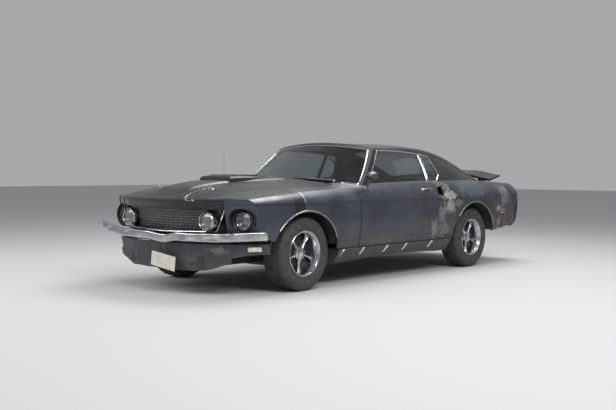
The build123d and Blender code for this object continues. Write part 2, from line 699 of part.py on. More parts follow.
# Headlamps, columns: front x, y, z, depth
LAMPS = (
    (2245, *INNER_LAMP, 120),
    (2072, *OUTER_LAMP, 80),
)
with BuildPart() as headlamps:
    for x, y, z, depth in LAMPS:
        with BuildSketch(Plane((x, y, z), x_dir=(1, 0, 0), z_dir=(0, -1, 0))):
            with BuildLine():
                rim = Polyline((-8, LAMP_RADIUS), (-12, LAMP_RADIUS), (-depth, LAMP_RADIUS), (-depth, 0), (10, 0))
                ThreePointArc((10, 0), (5, LAMP_RADIUS / 2), (-8, LAMP_RADIUS))
            make_face()
        revolve(axis=Axis((x, y, z), (1, 0, 0)))
    mirror(about=Plane.XZ)
save(headlamps.part, "headlamps")

# Radiator support
with BuildPart() as support:
    add(block((2040, 2060), (15 - APRON_Y, APRON_Y - 15), (330, 700)))
    for side in (-1, 1):
        y = side * (APRON_Y - 28)
        add(block((2000, 2100), (y - 26, y + 26), (445, 481)), mode=Mode.SUBTRACT)
    add(block((2000, 2100), (-300, 300), (380, 650)), mode=Mode.SUBTRACT)
    add(block((2030, 2075), (-300, 300), (380, 650)))
    add(block((2040, 2062), (-APRON_Y, APRON_Y), (500, 560)))
save(support.part, "radiator_support")

# Bumper blades, swept round their paths
BUMPER_HEIGHT = 92
BUMPER_DEPTH = 34
FRONT_BUMPER = ((1965, 905), (2215, 765), (2330, 380), (2362, 0), (2330, -380), (2262, -760), (2205, -905))
REAR_BUMPER = ((-2362, 800), (-2362, -872), (-2318, -912), (-2200, -912))
with BuildPart() as front_bumper:
    with BuildLine() as front_path:
        FilletPolyline(*[(x, y, 468) for x, y in FRONT_BUMPER], radius=110)
    with BuildSketch(Plane(front_path.line @ 0, x_dir=(0, 0, 1), z_dir=front_path.line % 0)):
        RectangleRounded(BUMPER_HEIGHT, BUMPER_DEPTH, 14)
    sweep(path=front_path.line)
save(front_bumper.part, "front_bumper")
with BuildPart() as rear_bumper:
    with BuildLine() as rear_path:
        FilletPolyline(*[(x, y, 488) for x, y in REAR_BUMPER], radius=60)
    with BuildSketch(Plane(rear_path.line @ 0, x_dir=(0, 0, 1), z_dir=rear_path.line % 0)):
        RectangleRounded(BUMPER_HEIGHT, BUMPER_DEPTH, 14)
    sweep(path=rear_path.line)
    for y in (-450, 450):
        add(block((-2362, TAIL_X - SEAT_GAP), (y - 25, y + 25), (460, 516)))
save(rear_bumper.part, "rear_bumper")

# Blank plate
with BuildPart() as plate:
    with BuildSketch(Plane((2350.5, 85, 275), x_dir=(0, 0.99, -0.13), z_dir=(1, 0, 0))):
        Rectangle(300, 120)
    extrude(amount=3)
    for y in (45, 125):
        add(block((2350.5, 2353.5), (y - 10, y + 10), (300, 468 - BUMPER_HEIGHT / 2 - SEAT_GAP)))
save(plate.part, "licence_plate")

# Tyre and rim, about the wheel's own centre
TYRE_PROFILE = (
    (RIM_LIP_RADIUS + SEAT_GAP, TYRE_HALF_WIDTH),
    (TYRE_RADIUS - TYRE_SHOULDER, TYRE_HALF_WIDTH),
    (TYRE_RADIUS, TYRE_TREAD_HALF_WIDTH),
)
with BuildPart() as tyre:
    with BuildSketch(Plane.XY):
        with BuildLine():
            Polyline(*TYRE_PROFILE, *[(r, -y) for r, y in reversed(TYRE_PROFILE)], close=True)
        make_face()
    revolve(axis=Axis.Y)
HALF = RIM_HALF_WIDTH
RIM_PROFILE = (
    (RIM_RADIUS, HALF - RIM_LIP_WIDTH),
    (RIM_LIP_RADIUS, HALF - RIM_LIP_WIDTH),
    (RIM_LIP_RADIUS, HALF),
    (RIM_RADIUS - RIM_WALL, HALF),
    (RIM_RADIUS - RIM_WALL, -HALF),
    (RIM_LIP_RADIUS, -HALF),
    (RIM_LIP_RADIUS, RIM_LIP_WIDTH - HALF),
    (RIM_RADIUS, RIM_LIP_WIDTH - HALF),
)
with BuildPart() as rim:
    with BuildSketch(Plane.XY):
        with BuildLine():
            Polyline(*RIM_PROFILE, close=True)
        make_face()
    revolve(axis=Axis.Y)
    add(round_bar((0, -40, 0), (0, HUB_FACE_Y, 0), HUB_RADIUS))
    add(round_bar((0, -40, 0), (0, HUB_FACE_Y - SPOKE_DEPTH, 0), DRUM_RADIUS))
    with BuildSketch(Plane.XZ.offset(-HUB_FACE_Y)):
        with PolarLocations(RIM_RADIUS / 2 + 14, SPOKES, start_angle=90):
            Rectangle(RIM_RADIUS - 40, SPOKE_WIDTH)
    extrude(amount=SPOKE_DEPTH)
    add(round_bar((0, -FAR, 0), (0, HUB_FACE_Y - 25, 0), SPINDLE_RADIUS + PIN_CLEARANCE), mode=Mode.SUBTRACT)
WHEELS = (
    ("front_left", FRONT_AXLE_X, WHEEL_Y, 0),
    ("front_right", FRONT_AXLE_X, -WHEEL_Y, 180),
    ("rear_left", REAR_AXLE_X, WHEEL_Y, 0),
    ("rear_right", REAR_AXLE_X, -WHEEL_Y, 180),
)
for name, x, y, turn in WHEELS:
    place = Location((x, y, TYRE_RADIUS), (0, 0, turn))
    save(tyre.part.moved(place), f"tyre_{name}")
    save(rim.part.moved(place), f"rim_{name}")

# Front crossmember, arms and kingpins
with BuildPart() as suspension:
    add(block((FRONT_AXLE_X - 45, FRONT_AXLE_X + 45), (-430, 430), (194, 238)))
    for side in (-1, 1):
        y_in = side * 400
        pin_y = side * KINGPIN_Y
        for z, root in ((TYRE_RADIUS - ARM_SPREAD, 400), (TYRE_RADIUS + ARM_SPREAD, APRON_Y)):
            span = sorted((side * root, pin_y))
            add(block((FRONT_AXLE_X - 22, FRONT_AXLE_X + 22), span, (z - 12, z + 12)))
            add(round_bar((FRONT_AXLE_X, pin_y, z - 12), (FRONT_AXLE_X, pin_y, z + 12), 24))
        add(round_bar((FRONT_AXLE_X, pin_y, TYRE_RADIUS - ARM_SPREAD), (FRONT_AXLE_X, pin_y, TYRE_RADIUS + ARM_SPREAD), KINGPIN_RADIUS))
save(suspension.part, "front_suspension")

# Steering knuckle with its spindle
with BuildPart() as knuckle:
    add(round_bar((FRONT_AXLE_X, KINGPIN_Y, TYRE_RADIUS - ARM_SPREAD + 18), (FRONT_AXLE_X, KINGPIN_Y, TYRE_RADIUS + ARM_SPREAD - 18), 28))
    add(round_bar((FRONT_AXLE_X, KINGPIN_Y, TYRE_RADIUS), (FRONT_AXLE_X, WHEEL_Y + HUB_FACE_Y - 26, TYRE_RADIUS), SPINDLE_RADIUS))
    add(round_bar((FRONT_AXLE_X, KINGPIN_Y, 0), (FRONT_AXLE_X, KINGPIN_Y, 900), KINGPIN_RADIUS + PIN_CLEARANCE), mode=Mode.SUBTRACT)
    add(round_bar((FRONT_AXLE_X, WHEEL_Y - 55, TYRE_RADIUS), (FRONT_AXLE_X, WHEEL_Y - 47, TYRE_RADIUS), DRUM_RADIUS - 2))
save(knuckle.part, "knuckle_left")
save(twin(knuckle.part), "knuckle_right")

# Rear axle
with BuildPart() as rear_axle:
    axle_end = WHEEL_Y + HUB_FACE_Y - 26
    add(round_bar((REAR_AXLE_X, -axle_end, TYRE_RADIUS), (REAR_AXLE_X, axle_end, TYRE_RADIUS), SPINDLE_RADIUS))
    add(round_bar((REAR_AXLE_X, 55 - WHEEL_Y, TYRE_RADIUS), (REAR_AXLE_X, WHEEL_Y - 55, TYRE_RADIUS), 38))
    with Locations((REAR_AXLE_X, 0, TYRE_RADIUS)):
        Sphere(95)
    add(round_bar((REAR_AXLE_X, 0, TYRE_RADIUS), (REAR_AXLE_X + 190, 0, TYRE_RADIUS), 55))
save(rear_axle.part, "rear_axle")

# Leaf springs under the axle
with BuildPart() as springs:
    with BuildSketch(Plane.XZ.offset(-470)):
        with BuildLine():
            ThreePointArc((REAR_AXLE_X + 600, 330), (REAR_AXLE_X, TYRE_RADIUS - 38 - 14 - SEAT_GAP), (REAR_AXLE_X - 640, 424 - 28))
        trace(line_width=28)
    extrude(amount=30, both=True)
    add(block((REAR_AXLE_X + 585, REAR_AXLE_X + 615), (455, 485), (330, 394.5)))
    add(block((REAR_AXLE_X - 652, REAR_AXLE_X - 628), (455, 485), (396, 430 - FLOOR / 2 - SEAT_GAP)))
    mirror(about=Plane.XZ)
save(springs.part, "leaf_springs")

# Drive shaft, tank and exhaust
shaft = round_bar((349, 0, 292), (REAR_AXLE_X + 191, 0, TYRE_RADIUS), 38)
save(shaft, "drive_shaft")
with BuildPart() as tank:
    add(block((-2230, -1800), (-400, 400), (268, 430 - FLOOR / 2 - SEAT_GAP)))
    fillet(tank.edges().filter_by(Axis.Z), 40)
save(tank.part, "fuel_tank")

# Engine as one plain block
with BuildPart() as engine:
    with BuildSketch(Plane.YZ.offset(960)):
        with BuildLine():
            Polyline((-150, 238 + SEAT_GAP), (150, 238 + SEAT_GAP), (190, 420), (330, 560), (230, 690), (-230, 690), (-330, 560), (-190, 420), close=True)
        make_face()
    extrude(amount=760)
    add(round_bar((1330, 0, 690), (1330, 0, 790), 190))
    add(round_bar((960, 0, 290), (350, 0, 290), 90))
save(engine.part, "engine_block")

# Cabin: seats, dashboard and steering wheel
SEAT_FOOT_Z = FLOOR_Z + FLOOR / 2 + SEAT_GAP
SEAT_SIDE = ((220, SEAT_FOOT_Z), (260, 430), (-120, 400), (-330, 800), (-430, 960), (-480, 950), (-300, 380), (-250, SEAT_FOOT_Z))
with BuildPart() as seats:
    add(side_slab(SEAT_SIDE, 150, 630))
    mirror(about=Plane.XZ)
save(seats.part, "front_seats")
REAR_SEAT_Z = 430 + FLOOR / 2 + SEAT_GAP
REAR_SEAT_SIDE = (
    (-600, 335),
    (-575, 470),
    (-880, 445),
    (-1010, 830),
    (-1090, 820),
    (-990, REAR_SEAT_Z),
    (-915, REAR_SEAT_Z),
    (-700, 425),
)
with BuildPart() as rear_seat:
    add(side_slab(REAR_SEAT_SIDE, -550, 550))
    add(round_bar((0, 0, TUNNEL_Z), (-700, 0, TUNNEL_Z), TUNNEL_RADIUS + SEAT_GAP), mode=Mode.SUBTRACT)
save(rear_seat.part, "rear_seat")
DASH_SIDE = ((FIREWALL_X, 600), (FIREWALL_X, 760), (560, 775), (470, 760), (480, 640), (640, 590))
DASH_TOP_SIDE = ((FIREWALL_X, 700), (FIREWALL_X, 800), (560, 806), (500, 790), (500, 700))
DASH_TOP_HALF_WIDTH = HOOD_HINGE_Y
STEER_HUB = Plane((235, 370, 770), z_dir=(-0.93, 0, 0.37))
STEER_COLUMN_END = STEER_HUB.origin - STEER_HUB.z_dir * 330
with BuildPart() as dash:
    add(side_slab(DASH_SIDE, -SILL_INNER_Y, SILL_INNER_Y))
    add(side_slab(DASH_TOP_SIDE, -DASH_TOP_HALF_WIDTH, DASH_TOP_HALF_WIDTH))
    add(round_bar(STEER_HUB.origin, STEER_COLUMN_END - STEER_HUB.z_dir, 26 + SEAT_GAP), mode=Mode.SUBTRACT)
save(dash.part, "dashboard")
with BuildPart() as wheel:
    with BuildSketch(Plane(STEER_HUB.origin, x_dir=(0, 1, 0), z_dir=STEER_HUB.z_dir)):
        Circle(190)
        Circle(166, mode=Mode.SUBTRACT)
    extrude(amount=22)
    with BuildSketch(Plane(STEER_HUB.origin, x_dir=(0, 1, 0), z_dir=STEER_HUB.z_dir)):
        Rectangle(350, 36)
        Circle(50)
    extrude(amount=14, both=True)
    add(round_bar(STEER_HUB.origin, STEER_COLUMN_END, 26))
save(wheel.part, "steering_wheel")

# Rear spoiler on pedestals
with BuildPart() as spoiler:
    with BuildSketch(Plane.XZ.offset(-640)):
        with BuildLine():
            Polyline((-2050, 1000), (-2300, 1045), (-2312, 1030), (-2060, 975), close=True)
        make_face()
    extrude(amount=1280)
    for y in (-480, 480):
        add(side_slab(((-2090, 880), (-2090, 1000), (-2210, 1020), (-2220, 880)), y - 14, y + 14))
    add(body_skin, mode=Mode.SUBTRACT)
save(spoiler.part, "rear_spoiler")

# Hood scoop
with BuildPart() as scoop:
    with BuildSketch(Plane.XZ.offset(-215)):
        with BuildLine():
            Polyline((1720, 850), (1700, 960), (1500, 985), (1000, 960), (1000, 850), close=True)
        make_face()
    extrude(amount=430)
    add(body_skin, mode=Mode.SUBTRACT)
save(scoop.part, "hood_scoop")
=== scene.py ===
import json
import math

import bmesh
import bpy
from mathutils import Euler, Matrix, Vector, noise
from mathutils.bvhtree import BVHTree


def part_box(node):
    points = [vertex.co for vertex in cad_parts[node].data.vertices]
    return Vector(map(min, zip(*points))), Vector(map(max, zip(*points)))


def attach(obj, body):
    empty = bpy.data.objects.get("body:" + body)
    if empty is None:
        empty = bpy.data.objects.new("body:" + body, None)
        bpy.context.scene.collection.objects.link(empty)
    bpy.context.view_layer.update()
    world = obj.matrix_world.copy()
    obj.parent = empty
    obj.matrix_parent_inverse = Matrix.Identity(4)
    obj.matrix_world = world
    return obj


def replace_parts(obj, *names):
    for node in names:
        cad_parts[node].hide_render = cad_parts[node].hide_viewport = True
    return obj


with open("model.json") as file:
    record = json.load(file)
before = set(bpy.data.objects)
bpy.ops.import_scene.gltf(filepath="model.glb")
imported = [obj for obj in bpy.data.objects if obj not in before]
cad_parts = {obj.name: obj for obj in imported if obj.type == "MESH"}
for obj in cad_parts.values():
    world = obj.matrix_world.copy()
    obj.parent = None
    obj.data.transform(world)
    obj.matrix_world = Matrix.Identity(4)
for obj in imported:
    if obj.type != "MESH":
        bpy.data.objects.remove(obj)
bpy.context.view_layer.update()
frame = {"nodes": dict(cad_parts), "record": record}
nodes = frame["nodes"]
slot_of = {row["node"]: row["material_slot"] for row in frame["record"]["subparts"]}
body_of = {node: body for body, members in frame["record"]["behaviour"]["bodies"].items()
           for node in members}

# Lengths are metres in the part's frame: +X forward, +Y to the car's left, +Z up
WHEELS = ("front_left", "front_right", "rear_left", "rear_right")
SIDES = (("left", 1), ("right", -1))
# Where rays start, outside the car
FAR = 2.0

# The front line of the nose, as the part has it
NOSE_Z = 0.742
NOSE_LEAN = 0.19
NOSE_CENTRE_X = 2.335
NOSE_MIDDLE = (2.280, 0.487)
NOSE_CORNER = (2.120, 0.770)
NOSE_RISE = NOSE_CENTRE_X - NOSE_MIDDLE[0]
NOSE_RADIUS = (NOSE_MIDDLE[1] ** 2 + NOSE_RISE ** 2) / (2 * NOSE_RISE)

# Middles of the headlamps across and up
INNER_LAMP = (0.494, 0.616)
OUTER_LAMP = (0.755, 0.622)

CAMERA_PLACE = (7.226, 5.873, 1.037)
CAMERA_YAW = -2.430
CAMERA_PITCH = -0.039
CAMERA_ROLL = 0.006
CAMERA_LENS = 52.76
CAMERA_SENSOR = 36


def camera():
    """The photograph's viewpoint, fitted to the wheels, lamps and roof line."""
    eye = bpy.data.cameras.new("camera")
    eye.lens = CAMERA_LENS
    eye.sensor_width = CAMERA_SENSOR
    stand = bpy.data.objects.new("camera", eye)
    stand.location = CAMERA_PLACE
    look = Euler((math.pi / 2 + CAMERA_PITCH, 0, CAMERA_YAW - math.pi / 2), "XYZ").to_matrix()
    stand.rotation_euler = (look @ Matrix.Rotation(CAMERA_ROLL, 3, "Z")).to_euler()
    bpy.context.scene.collection.objects.link(stand)
    bpy.context.scene.camera = stand


class Finish:
    """One procedural material: adds shader nodes, and links or sets their inputs."""

    def __init__(self, name):
        self.material = bpy.data.materials.new(name)
        self.material.use_nodes = True
        self.tree = self.material.node_tree
        self.shader = self.tree.nodes["Principled BSDF"]
        self.place = self.add("TexCoord").outputs["Object"]

    def add(self, kind, inputs=None, **settings):
        node = self.tree.nodes.new("ShaderNode" + kind)
        for key, value in settings.items():
            setattr(node, key, value)
        for key, value in (inputs or {}).items():
            self.feed(node.inputs[key], value)
        return node

    def feed(self, socket, value):
        if isinstance(value, bpy.types.NodeSocket):
            self.tree.links.new(value, socket)
        else:
            socket.default_value = value

    def set(self, **inputs):
        for key, value in inputs.items():
            self.feed(self.shader.inputs[key.replace("_", " ")], value)

    def axes(self):
        return self.add("SeparateXYZ", {0: self.place}).outputs[:3]

    def facing_up(self):
        normal = self.add("NewGeometry").outputs["Normal"]
        return self.add("SeparateXYZ", {0: normal}).outputs[2]

    def noise(self, scale, detail=4.0, rough=0.6):
        return self.add("TexNoise", {"Vector": self.place, "Scale": scale, "Detail": detail,
                                     "Roughness": rough}).outputs["Fac"]

    def math(self, operation, a, b=0.0, clamp=False):
        return self.add("Math", {0: a, 1: b}, operation=operation, use_clamp=clamp).outputs[0]

    def times(self, a, b):
        return self.math("MULTIPLY", a, b)

    def plus(self, a, b, clamp=False):
        return self.math("ADD", a, b, clamp)

    def span(self, value, low, high, to_low=0.0, to_high=1.0):
        """Maps low..high to to_low..to_high, held at the ends."""
        return self.add("MapRange", {"Value": value, "From Min": low, "From Max": high,
                                     "To Min": to_low, "To Max": to_high}).outputs[0]

    def band(self, value, low, high, soft=0.003):
        """1 between low and high, 0 outside them."""
        rise = self.span(value, low - soft, low + soft)
        return self.times(rise, self.span(value, high - soft, high + soft, 1, 0))

    def near(self, centre, radii):
        """0.9 inside a ragged spot of three radii round a place, 0 outside it."""
        shift = tuple(-c / r for c, r in zip(centre, radii))
        where = self.add("Mapping", {"Vector": self.place, "Scale": tuple(1 / r for r in radii),
                                     "Location": shift}).outputs[0]
        away = self.add("VectorMath", {0: where}, operation="LENGTH").outputs["Value"]
        torn = self.span(self.noise(20, 8, 0.75), 0.3, 0.7, -0.7, 0.7)
        return self.span(self.plus(away, torn), 0.6, 1.0, 0.9, 0)

    def mix(self, share, a, b):
        return self.add("Mix", {"Factor": share, "A": a, "B": b}, data_type="RGBA").outputs["Result"]

    def bump(self, height, strength, distance=0.001):
        return self.add("Bump", {"Height": height, "Strength": strength,
                                 "Distance": distance}).outputs[0]


# Colours
BODY_DARK = (0.031, 0.036, 0.047, 1)
BODY_LIGHT = (0.066, 0.076, 0.098, 1)
BLACK_DARK = (0.012, 0.0125, 0.014, 1)
BLACK_LIGHT = (0.034, 0.035, 0.038, 1)
BARE = (0.3, 0.3, 0.31, 1)
FILLER = (0.075, 0.095, 0.125, 1)
RUST = (0.085, 0.045, 0.026, 1)
RUST_SPECK = (0.16, 0.075, 0.035, 1)
OCHRE = (0.3, 0.22, 0.09, 1)
ORANGE = (0.75, 0.28, 0.04, 1)
PALE = (0.42, 0.41, 0.38, 1)
# Dark of the side stripe lines, the fender band and some patches, and of the painted shadow line under the
# crease
STRIPE_AND_SHADE = (0.012, 0.012, 0.014, 1)
STRIPE_EDGE = (0.4, 0.42, 0.46, 1)
SCUFF = (0.15, 0.14, 0.13, 1)
GRIME_DARK = (0.04, 0.037, 0.034, 1)
GRIME_LIGHT = (0.11, 0.103, 0.095, 1)
SILL_DIRT = (0.075, 0.062, 0.05, 1)
# Pale grey laid on the paint's upward faces: dust, with painted top light in it
PAINT_DUST_AND_TOP_LIGHT = (0.15, 0.148, 0.146, 1)
DUST = (0.22, 0.2, 0.18, 1)
RUBBER_DARK = (0.018, 0.018, 0.019, 1)
RUBBER_LIGHT = (0.075, 0.073, 0.07, 1)

# Heights of the dirt, of the fender band's foot and of its bright edge
DIRT_Z = (0.24, 0.56)
DIRT_RAGGED = 0.13
BAND_FOOT_Z = (0.66, 0.67)
BAND_EDGE_Z = (0.76, 0.86)
BAND_EDGE_WIDTH = 0.010
PAINT_METAL = 0.62


def shade(colour, share):
    """A colour made darker or lighter."""
    return tuple(min(1, c * share) for c in colour[:3]) + (1,)


def simple(name, colour, roughness, metallic=0.0, grain=40, spread=0.25, lump=0.15, dust=0.0):
    """A plain finish whose colour, gloss and surface vary a little, with dust on what faces up."""
    f = Finish(name)
    wave = f.noise(grain)
    tint = f.mix(f.span(wave, 0.3, 0.7), shade(colour, 1 - spread), shade(colour, 1 + spread))
    if dust:
        tint = f.mix(f.times(f.span(f.facing_up(), 0.1, 1, 0, dust), wave), tint, DUST)
    f.set(Base_Color=tint, Metallic=metallic,
          Roughness=f.span(wave, 0.3, 0.7, roughness * 0.8, roughness * 1.2),
          Normal=f.bump(f.noise(grain * 6), lump))
    return f.material


def worn_chrome(name, colour, rust):
    """Bright metal with dull clouds, pits and rust specks."""
    f = Finish(name)
    cloud = f.noise(11, 6)
    speck = f.span(f.noise(75, 5), 0.62, 0.7, 0, rust)
    tint = f.mix(f.span(cloud, 0.35, 0.75), shade(colour, 1), shade(colour, 0.6))
    f.set(Base_Color=f.mix(speck, tint, RUST_SPECK), Metallic=f.math("SUBTRACT", 1.0, speck),
          Roughness=f.plus(f.span(cloud, 0.3, 0.8, 0.1, 0.34), f.times(speck, 0.4)),
          Normal=f.bump(f.noise(160, 3), 0.12))
    return f.material


def paint(name, gloss, dark=BODY_DARK, light=BODY_LIGHT, patches=(), stripes_and_shade_lines=(), band=None, dents=0.1):
    """Worn metallic paint: cloudy colour, dirt rising from the sills, dust with painted top light on what
    faces up, patches, and dark stripe lines, one of them a painted shadow line under the body's crease.
    A patch is (centre, radii, colour, metal), a stripe (low, high) in height, and a band a slanted dark
    stripe (low, high, slope)."""
    f = Finish(name)
    along, _, height = f.axes()
    cloud = f.noise(2.6, 7)
    fine = f.noise(38, 6)
    tint = f.mix(f.span(cloud, 0.32, 0.68), dark, light)
    tint = f.mix(f.span(fine, 0.56, 0.74, 0, 0.35), tint, SCUFF)
    metal, ridge = PAINT_METAL, 0.0
    # Dark lines at given heights: two real stripe lines low on the sides, and a painted shadow line at the
    # crease
    for low, high in stripes_and_shade_lines:
        tint = f.mix(f.times(f.band(height, low, high), 0.85), tint, STRIPE_AND_SHADE)
    if band:
        low, high, slope = band
        slant = f.plus(along, f.times(height, slope))
        shown = f.times(f.band(slant, low, high), f.span(height, *BAND_FOOT_Z))
        tint = f.mix(f.times(shown, 0.8), tint, STRIPE_AND_SHADE)
        edge = f.band(slant, low - BAND_EDGE_WIDTH, low)
        tint = f.mix(f.times(edge, f.band(height, *BAND_EDGE_Z, 0.01)), tint, STRIPE_EDGE)
    for centre, radii, colour, shine in patches:
        spot = f.near(centre, radii)
        tint = f.mix(spot, tint, f.mix(f.span(fine, 0.35, 0.65), shade(colour, 0.6), colour))
        ridge = f.plus(ridge, f.times(spot, f.noise(26, 3)))
        metal = f.plus(metal, f.times(spot, shine - PAINT_METAL), True)
    rise = f.plus(height, f.span(f.noise(6, 7), 0.2, 0.8, -DIRT_RAGGED, DIRT_RAGGED))
    dirt = f.span(rise, DIRT_Z[1], DIRT_Z[0], 0, 0.8)
    tint = f.mix(dirt, tint, f.mix(f.noise(24, 5), GRIME_DARK, GRIME_LIGHT))
    # Paler and rougher on what faces up: dust, with painted top light in it
    top = f.times(f.span(f.facing_up(), 0.25, 1, 0, 0.3), f.span(f.noise(5, 8), 0.2, 0.8))
    rough = f.plus(f.span(f.noise(8, 7), 0.3, 0.7, gloss, gloss + 0.2),
                   f.times(f.plus(dirt, top), 0.35))
    waves = f.plus(f.noise(4.5, 3), ridge)
    relief = f.plus(waves, f.times(fine, 0.12))
    f.set(Base_Color=f.mix(top, tint, PAINT_DUST_AND_TOP_LIGHT), Roughness=rough,
          Metallic=f.math("SUBTRACT", metal, f.times(dirt, 0.5), True),
          Coat_Weight=f.span(dirt, 0, 0.6, 0.35, 0), Coat_Roughness=0.22,
          Normal=f.bump(relief, dents, 0.02))
    return f.material


def glass(name, colour):
    """Clear glass with a film of dirt."""
    f = Finish(name)
    film = f.span(f.noise(9, 6), 0.5, 0.85)
    f.set(Base_Color=f.mix(film, colour, shade(colour, 0.75)), IOR=1.45,
          Transmission_Weight=f.span(film, 0, 1, 1, 0.95), Roughness=f.span(film, 0, 1, 0.015, 0.08))
    return f.material


def lens(name, colour, clear=0.0, ribs=520):
    """Pressed lamp glass: fine ribs over a bright reflector or a coloured body."""
    f = Finish(name)
    _, across, height = f.axes()
    rib = f.math("SINE", f.times(across, ribs))
    row = f.math("SINE", f.times(height, ribs * 0.45))
    wave = f.noise(30)
    f.set(Base_Color=f.mix(wave, colour, shade(colour, 0.62)), Metallic=clear,
          Roughness=f.span(wave, 0.3, 0.7, 0.1, 0.26), Coat_Weight=1.0, Coat_Roughness=0.06,
          Normal=f.bump(f.plus(rib, row), 0.45, 0.0012))
    return f.material


def rubber(name):
    """Dull tyre rubber with paler, dusty clouds."""
    f = Finish(name)
    wave = f.noise(26, 6)
    f.set(Base_Color=f.mix(f.span(wave, 0.3, 0.75), RUBBER_DARK, RUBBER_LIGHT),
          Roughness=f.span(wave, 0.3, 0.7, 0.62, 0.86), Normal=f.bump(f.noise(240), 0.2))
    return f.material


def vinyl(name, colour):
    """Seat cover with a pebbled grain."""
    f = Finish(name)
    cell = f.add("TexVoronoi", {"Vector": f.place, "Scale": 420}).outputs["Distance"]
    wave = f.noise(14, 6)
    f.set(Base_Color=f.mix(wave, shade(colour, 0.6), shade(colour, 1.5)),
          Roughness=f.span(wave, 0.3, 0.7, 0.4, 0.62), Normal=f.bump(cell, 0.3, 0.0006))
    return f.material


# Heights of two dark stripe lines low on the sides, and of a painted shadow line under the body's crease
SIDE_STRIPES_AND_CREASE_SHADE = ((0.404, 0.414), (0.359, 0.369), (0.749, 0.756))
QUARTER_PATCHES = (
    ((-1.26, 0.88, 0.85), (0.30, 0.2, 0.10), FILLER, 0.2),
    ((-0.72, 0.91, 0.83), (0.12, 0.2, 0.11), BARE, 0.9),
    ((-0.815, 0.905, 0.775), (0.09, 0.2, 0.05), PALE, 0.3),
    ((-0.936, 0.905, 0.70), (0.08, 0.2, 0.05), BARE, 0.9),
    ((-0.68, 0.9, 0.43), (0.13, 0.2, 0.10), BARE, 0.9),
    ((-0.66, 0.9, 0.62), (0.10, 0.2, 0.15), BARE, 0.9),
    ((-0.79, 0.9, 0.66), (0.09, 0.2, 0.10), PALE, 0.4),
    ((-0.62, 0.9, 0.76), (0.05, 0.2, 0.09), STRIPE_AND_SHADE, 0.3),
    ((-1.74, 0.88, 0.80), (0.06, 0.2, 0.14), STRIPE_AND_SHADE, 0.3),
    ((-1.92, 0.86, 0.74), (0.06, 0.2, 0.17), BARE, 0.9),
    ((-2.12, 0.83, 0.84), (0.09, 0.2, 0.07), STRIPE_AND_SHADE, 0.3),
    ((-1.97, 0.86, 0.50), (0.11, 0.2, 0.05), RUST, 0.2),
    ((-0.80, 0.9, 0.56), (0.10, 0.2, 0.07), RUST, 0.2),
    ((-1.66, 0.9, 0.50), (0.09, 0.2, 0.07), RUST, 0.2),
    ((-1.82, 0.87, 0.47), (0.07, 0.2, 0.05), OCHRE, 0.2),
    ((-1.80, 0.88, 0.62), (0.08, 0.2, 0.045), PALE, 0.3),
    ((-2.02, 0.85, 0.76), (0.09, 0.2, 0.12), BARE, 0.8),
    ((-2.16, 0.8, 0.6), (0.10, 0.2, 0.10), RUST, 0.2),
    ((-1.58, 0.86, 0.955), (0.025, 0.2, 0.012), ORANGE, 0.0),
)
FENDER_PATCHES = (
    ((1.47, 0.905, 0.69), (0.10, 0.06, 0.018), RUST, 0.3),
    ((1.005, 0.895, 0.507), (0.05, 0.06, 0.01), STRIPE_AND_SHADE, 0.3),
)
FENDER_BAND = (1.55, 1.68, 0.08)
DOOR_PATCHES = (
    ((-0.49, 0.92, 0.45), (0.07, 0.06, 0.13), BARE, 0.8),
    ((0.36, 0.9, 0.39), (0.42, 0.08, 0.06), SILL_DIRT, 0.3),
)
VALANCE_PATCHES = (
    ((2.20, 0.60, 0.38), (0.09, 0.12, 0.035), (0.3, 0.3, 0.29, 1), 0.6),
    ((2.28, 0.30, 0.30), (0.09, 0.16, 0.03), RUST, 0.2),
)


# One finish for each material slot of the record, then those of single pieces
FINISHES = {
    "paint": paint("paint", 0.24, stripes_and_shade_lines=SIDE_STRIPES_AND_CREASE_SHADE),
    "black_paint": paint("black_paint", 0.26, BLACK_DARK, BLACK_LIGHT),
    "chrome": worn_chrome("chrome", (0.62, 0.63, 0.65), 0.55),
    "clear_glass": glass("clear_glass", (0.45, 0.5, 0.5, 1)),
    "lamp_glass": lens("lamp_glass", (0.2, 0.205, 0.21, 1), 0.5),
    "red_lens": lens("red_lens", (0.32, 0.012, 0.016, 1), ribs=300),
    "tyre": rubber("tyre"),
    "wheel": worn_chrome("wheel", (0.58, 0.585, 0.6), 0.25),
    "steel": simple("steel", (0.13, 0.12, 0.11), 0.55, 0.6, 18, 0.45, 0.3, 0.3),
    "underbody": simple("underbody", (0.034, 0.031, 0.028), 0.8, 0, 12, 0.5, 0.4, 0.4),
    "trim": simple("trim", (0.018, 0.018, 0.019), 0.55, 0, 30, 0.35, 0.3, 0.35),
    "upholstery": vinyl("upholstery", (0.024, 0.024, 0.026)),
    "plate_white": simple("plate_white", (0.62, 0.6, 0.5), 0.45, 0, 22, 0.16, 0.2),
}
QUARTER_PAINT = paint("quarter_paint", 0.3, patches=QUARTER_PATCHES, stripes_and_shade_lines=SIDE_STRIPES_AND_CREASE_SHADE, dents=0.6)
FENDER_PAINT = paint("fender_paint", 0.24, patches=FENDER_PATCHES, stripes_and_shade_lines=SIDE_STRIPES_AND_CREASE_SHADE, band=FENDER_BAND)
DOOR_PAINT = paint("door_paint", 0.24, patches=DOOR_PATCHES, stripes_and_shade_lines=SIDE_STRIPES_AND_CREASE_SHADE)
VALANCE_PAINT = paint("valance_paint", 0.32, patches=VALANCE_PATCHES, dents=0.3)
DARK = simple("dark", (0.012, 0.012, 0.013), 0.6, 0, 30, 0.4, 0.3, 0.2)
WIRE = simple("wire", (0.2, 0.2, 0.21), 0.35, 0.8, 50, 0.4)
BARE_METAL = simple("bare_metal", (0.26, 0.26, 0.27), 0.34, 0.9, 30, 0.35, 0.3)
TAPE = simple("tape", (0.66, 0.65, 0.61), 0.5, 0, 60, 0.2, 0.2)
RUSTY_TAPE = simple("rusty_tape", (0.42, 0.17, 0.05), 0.6, 0, 60, 0.3, 0.2)

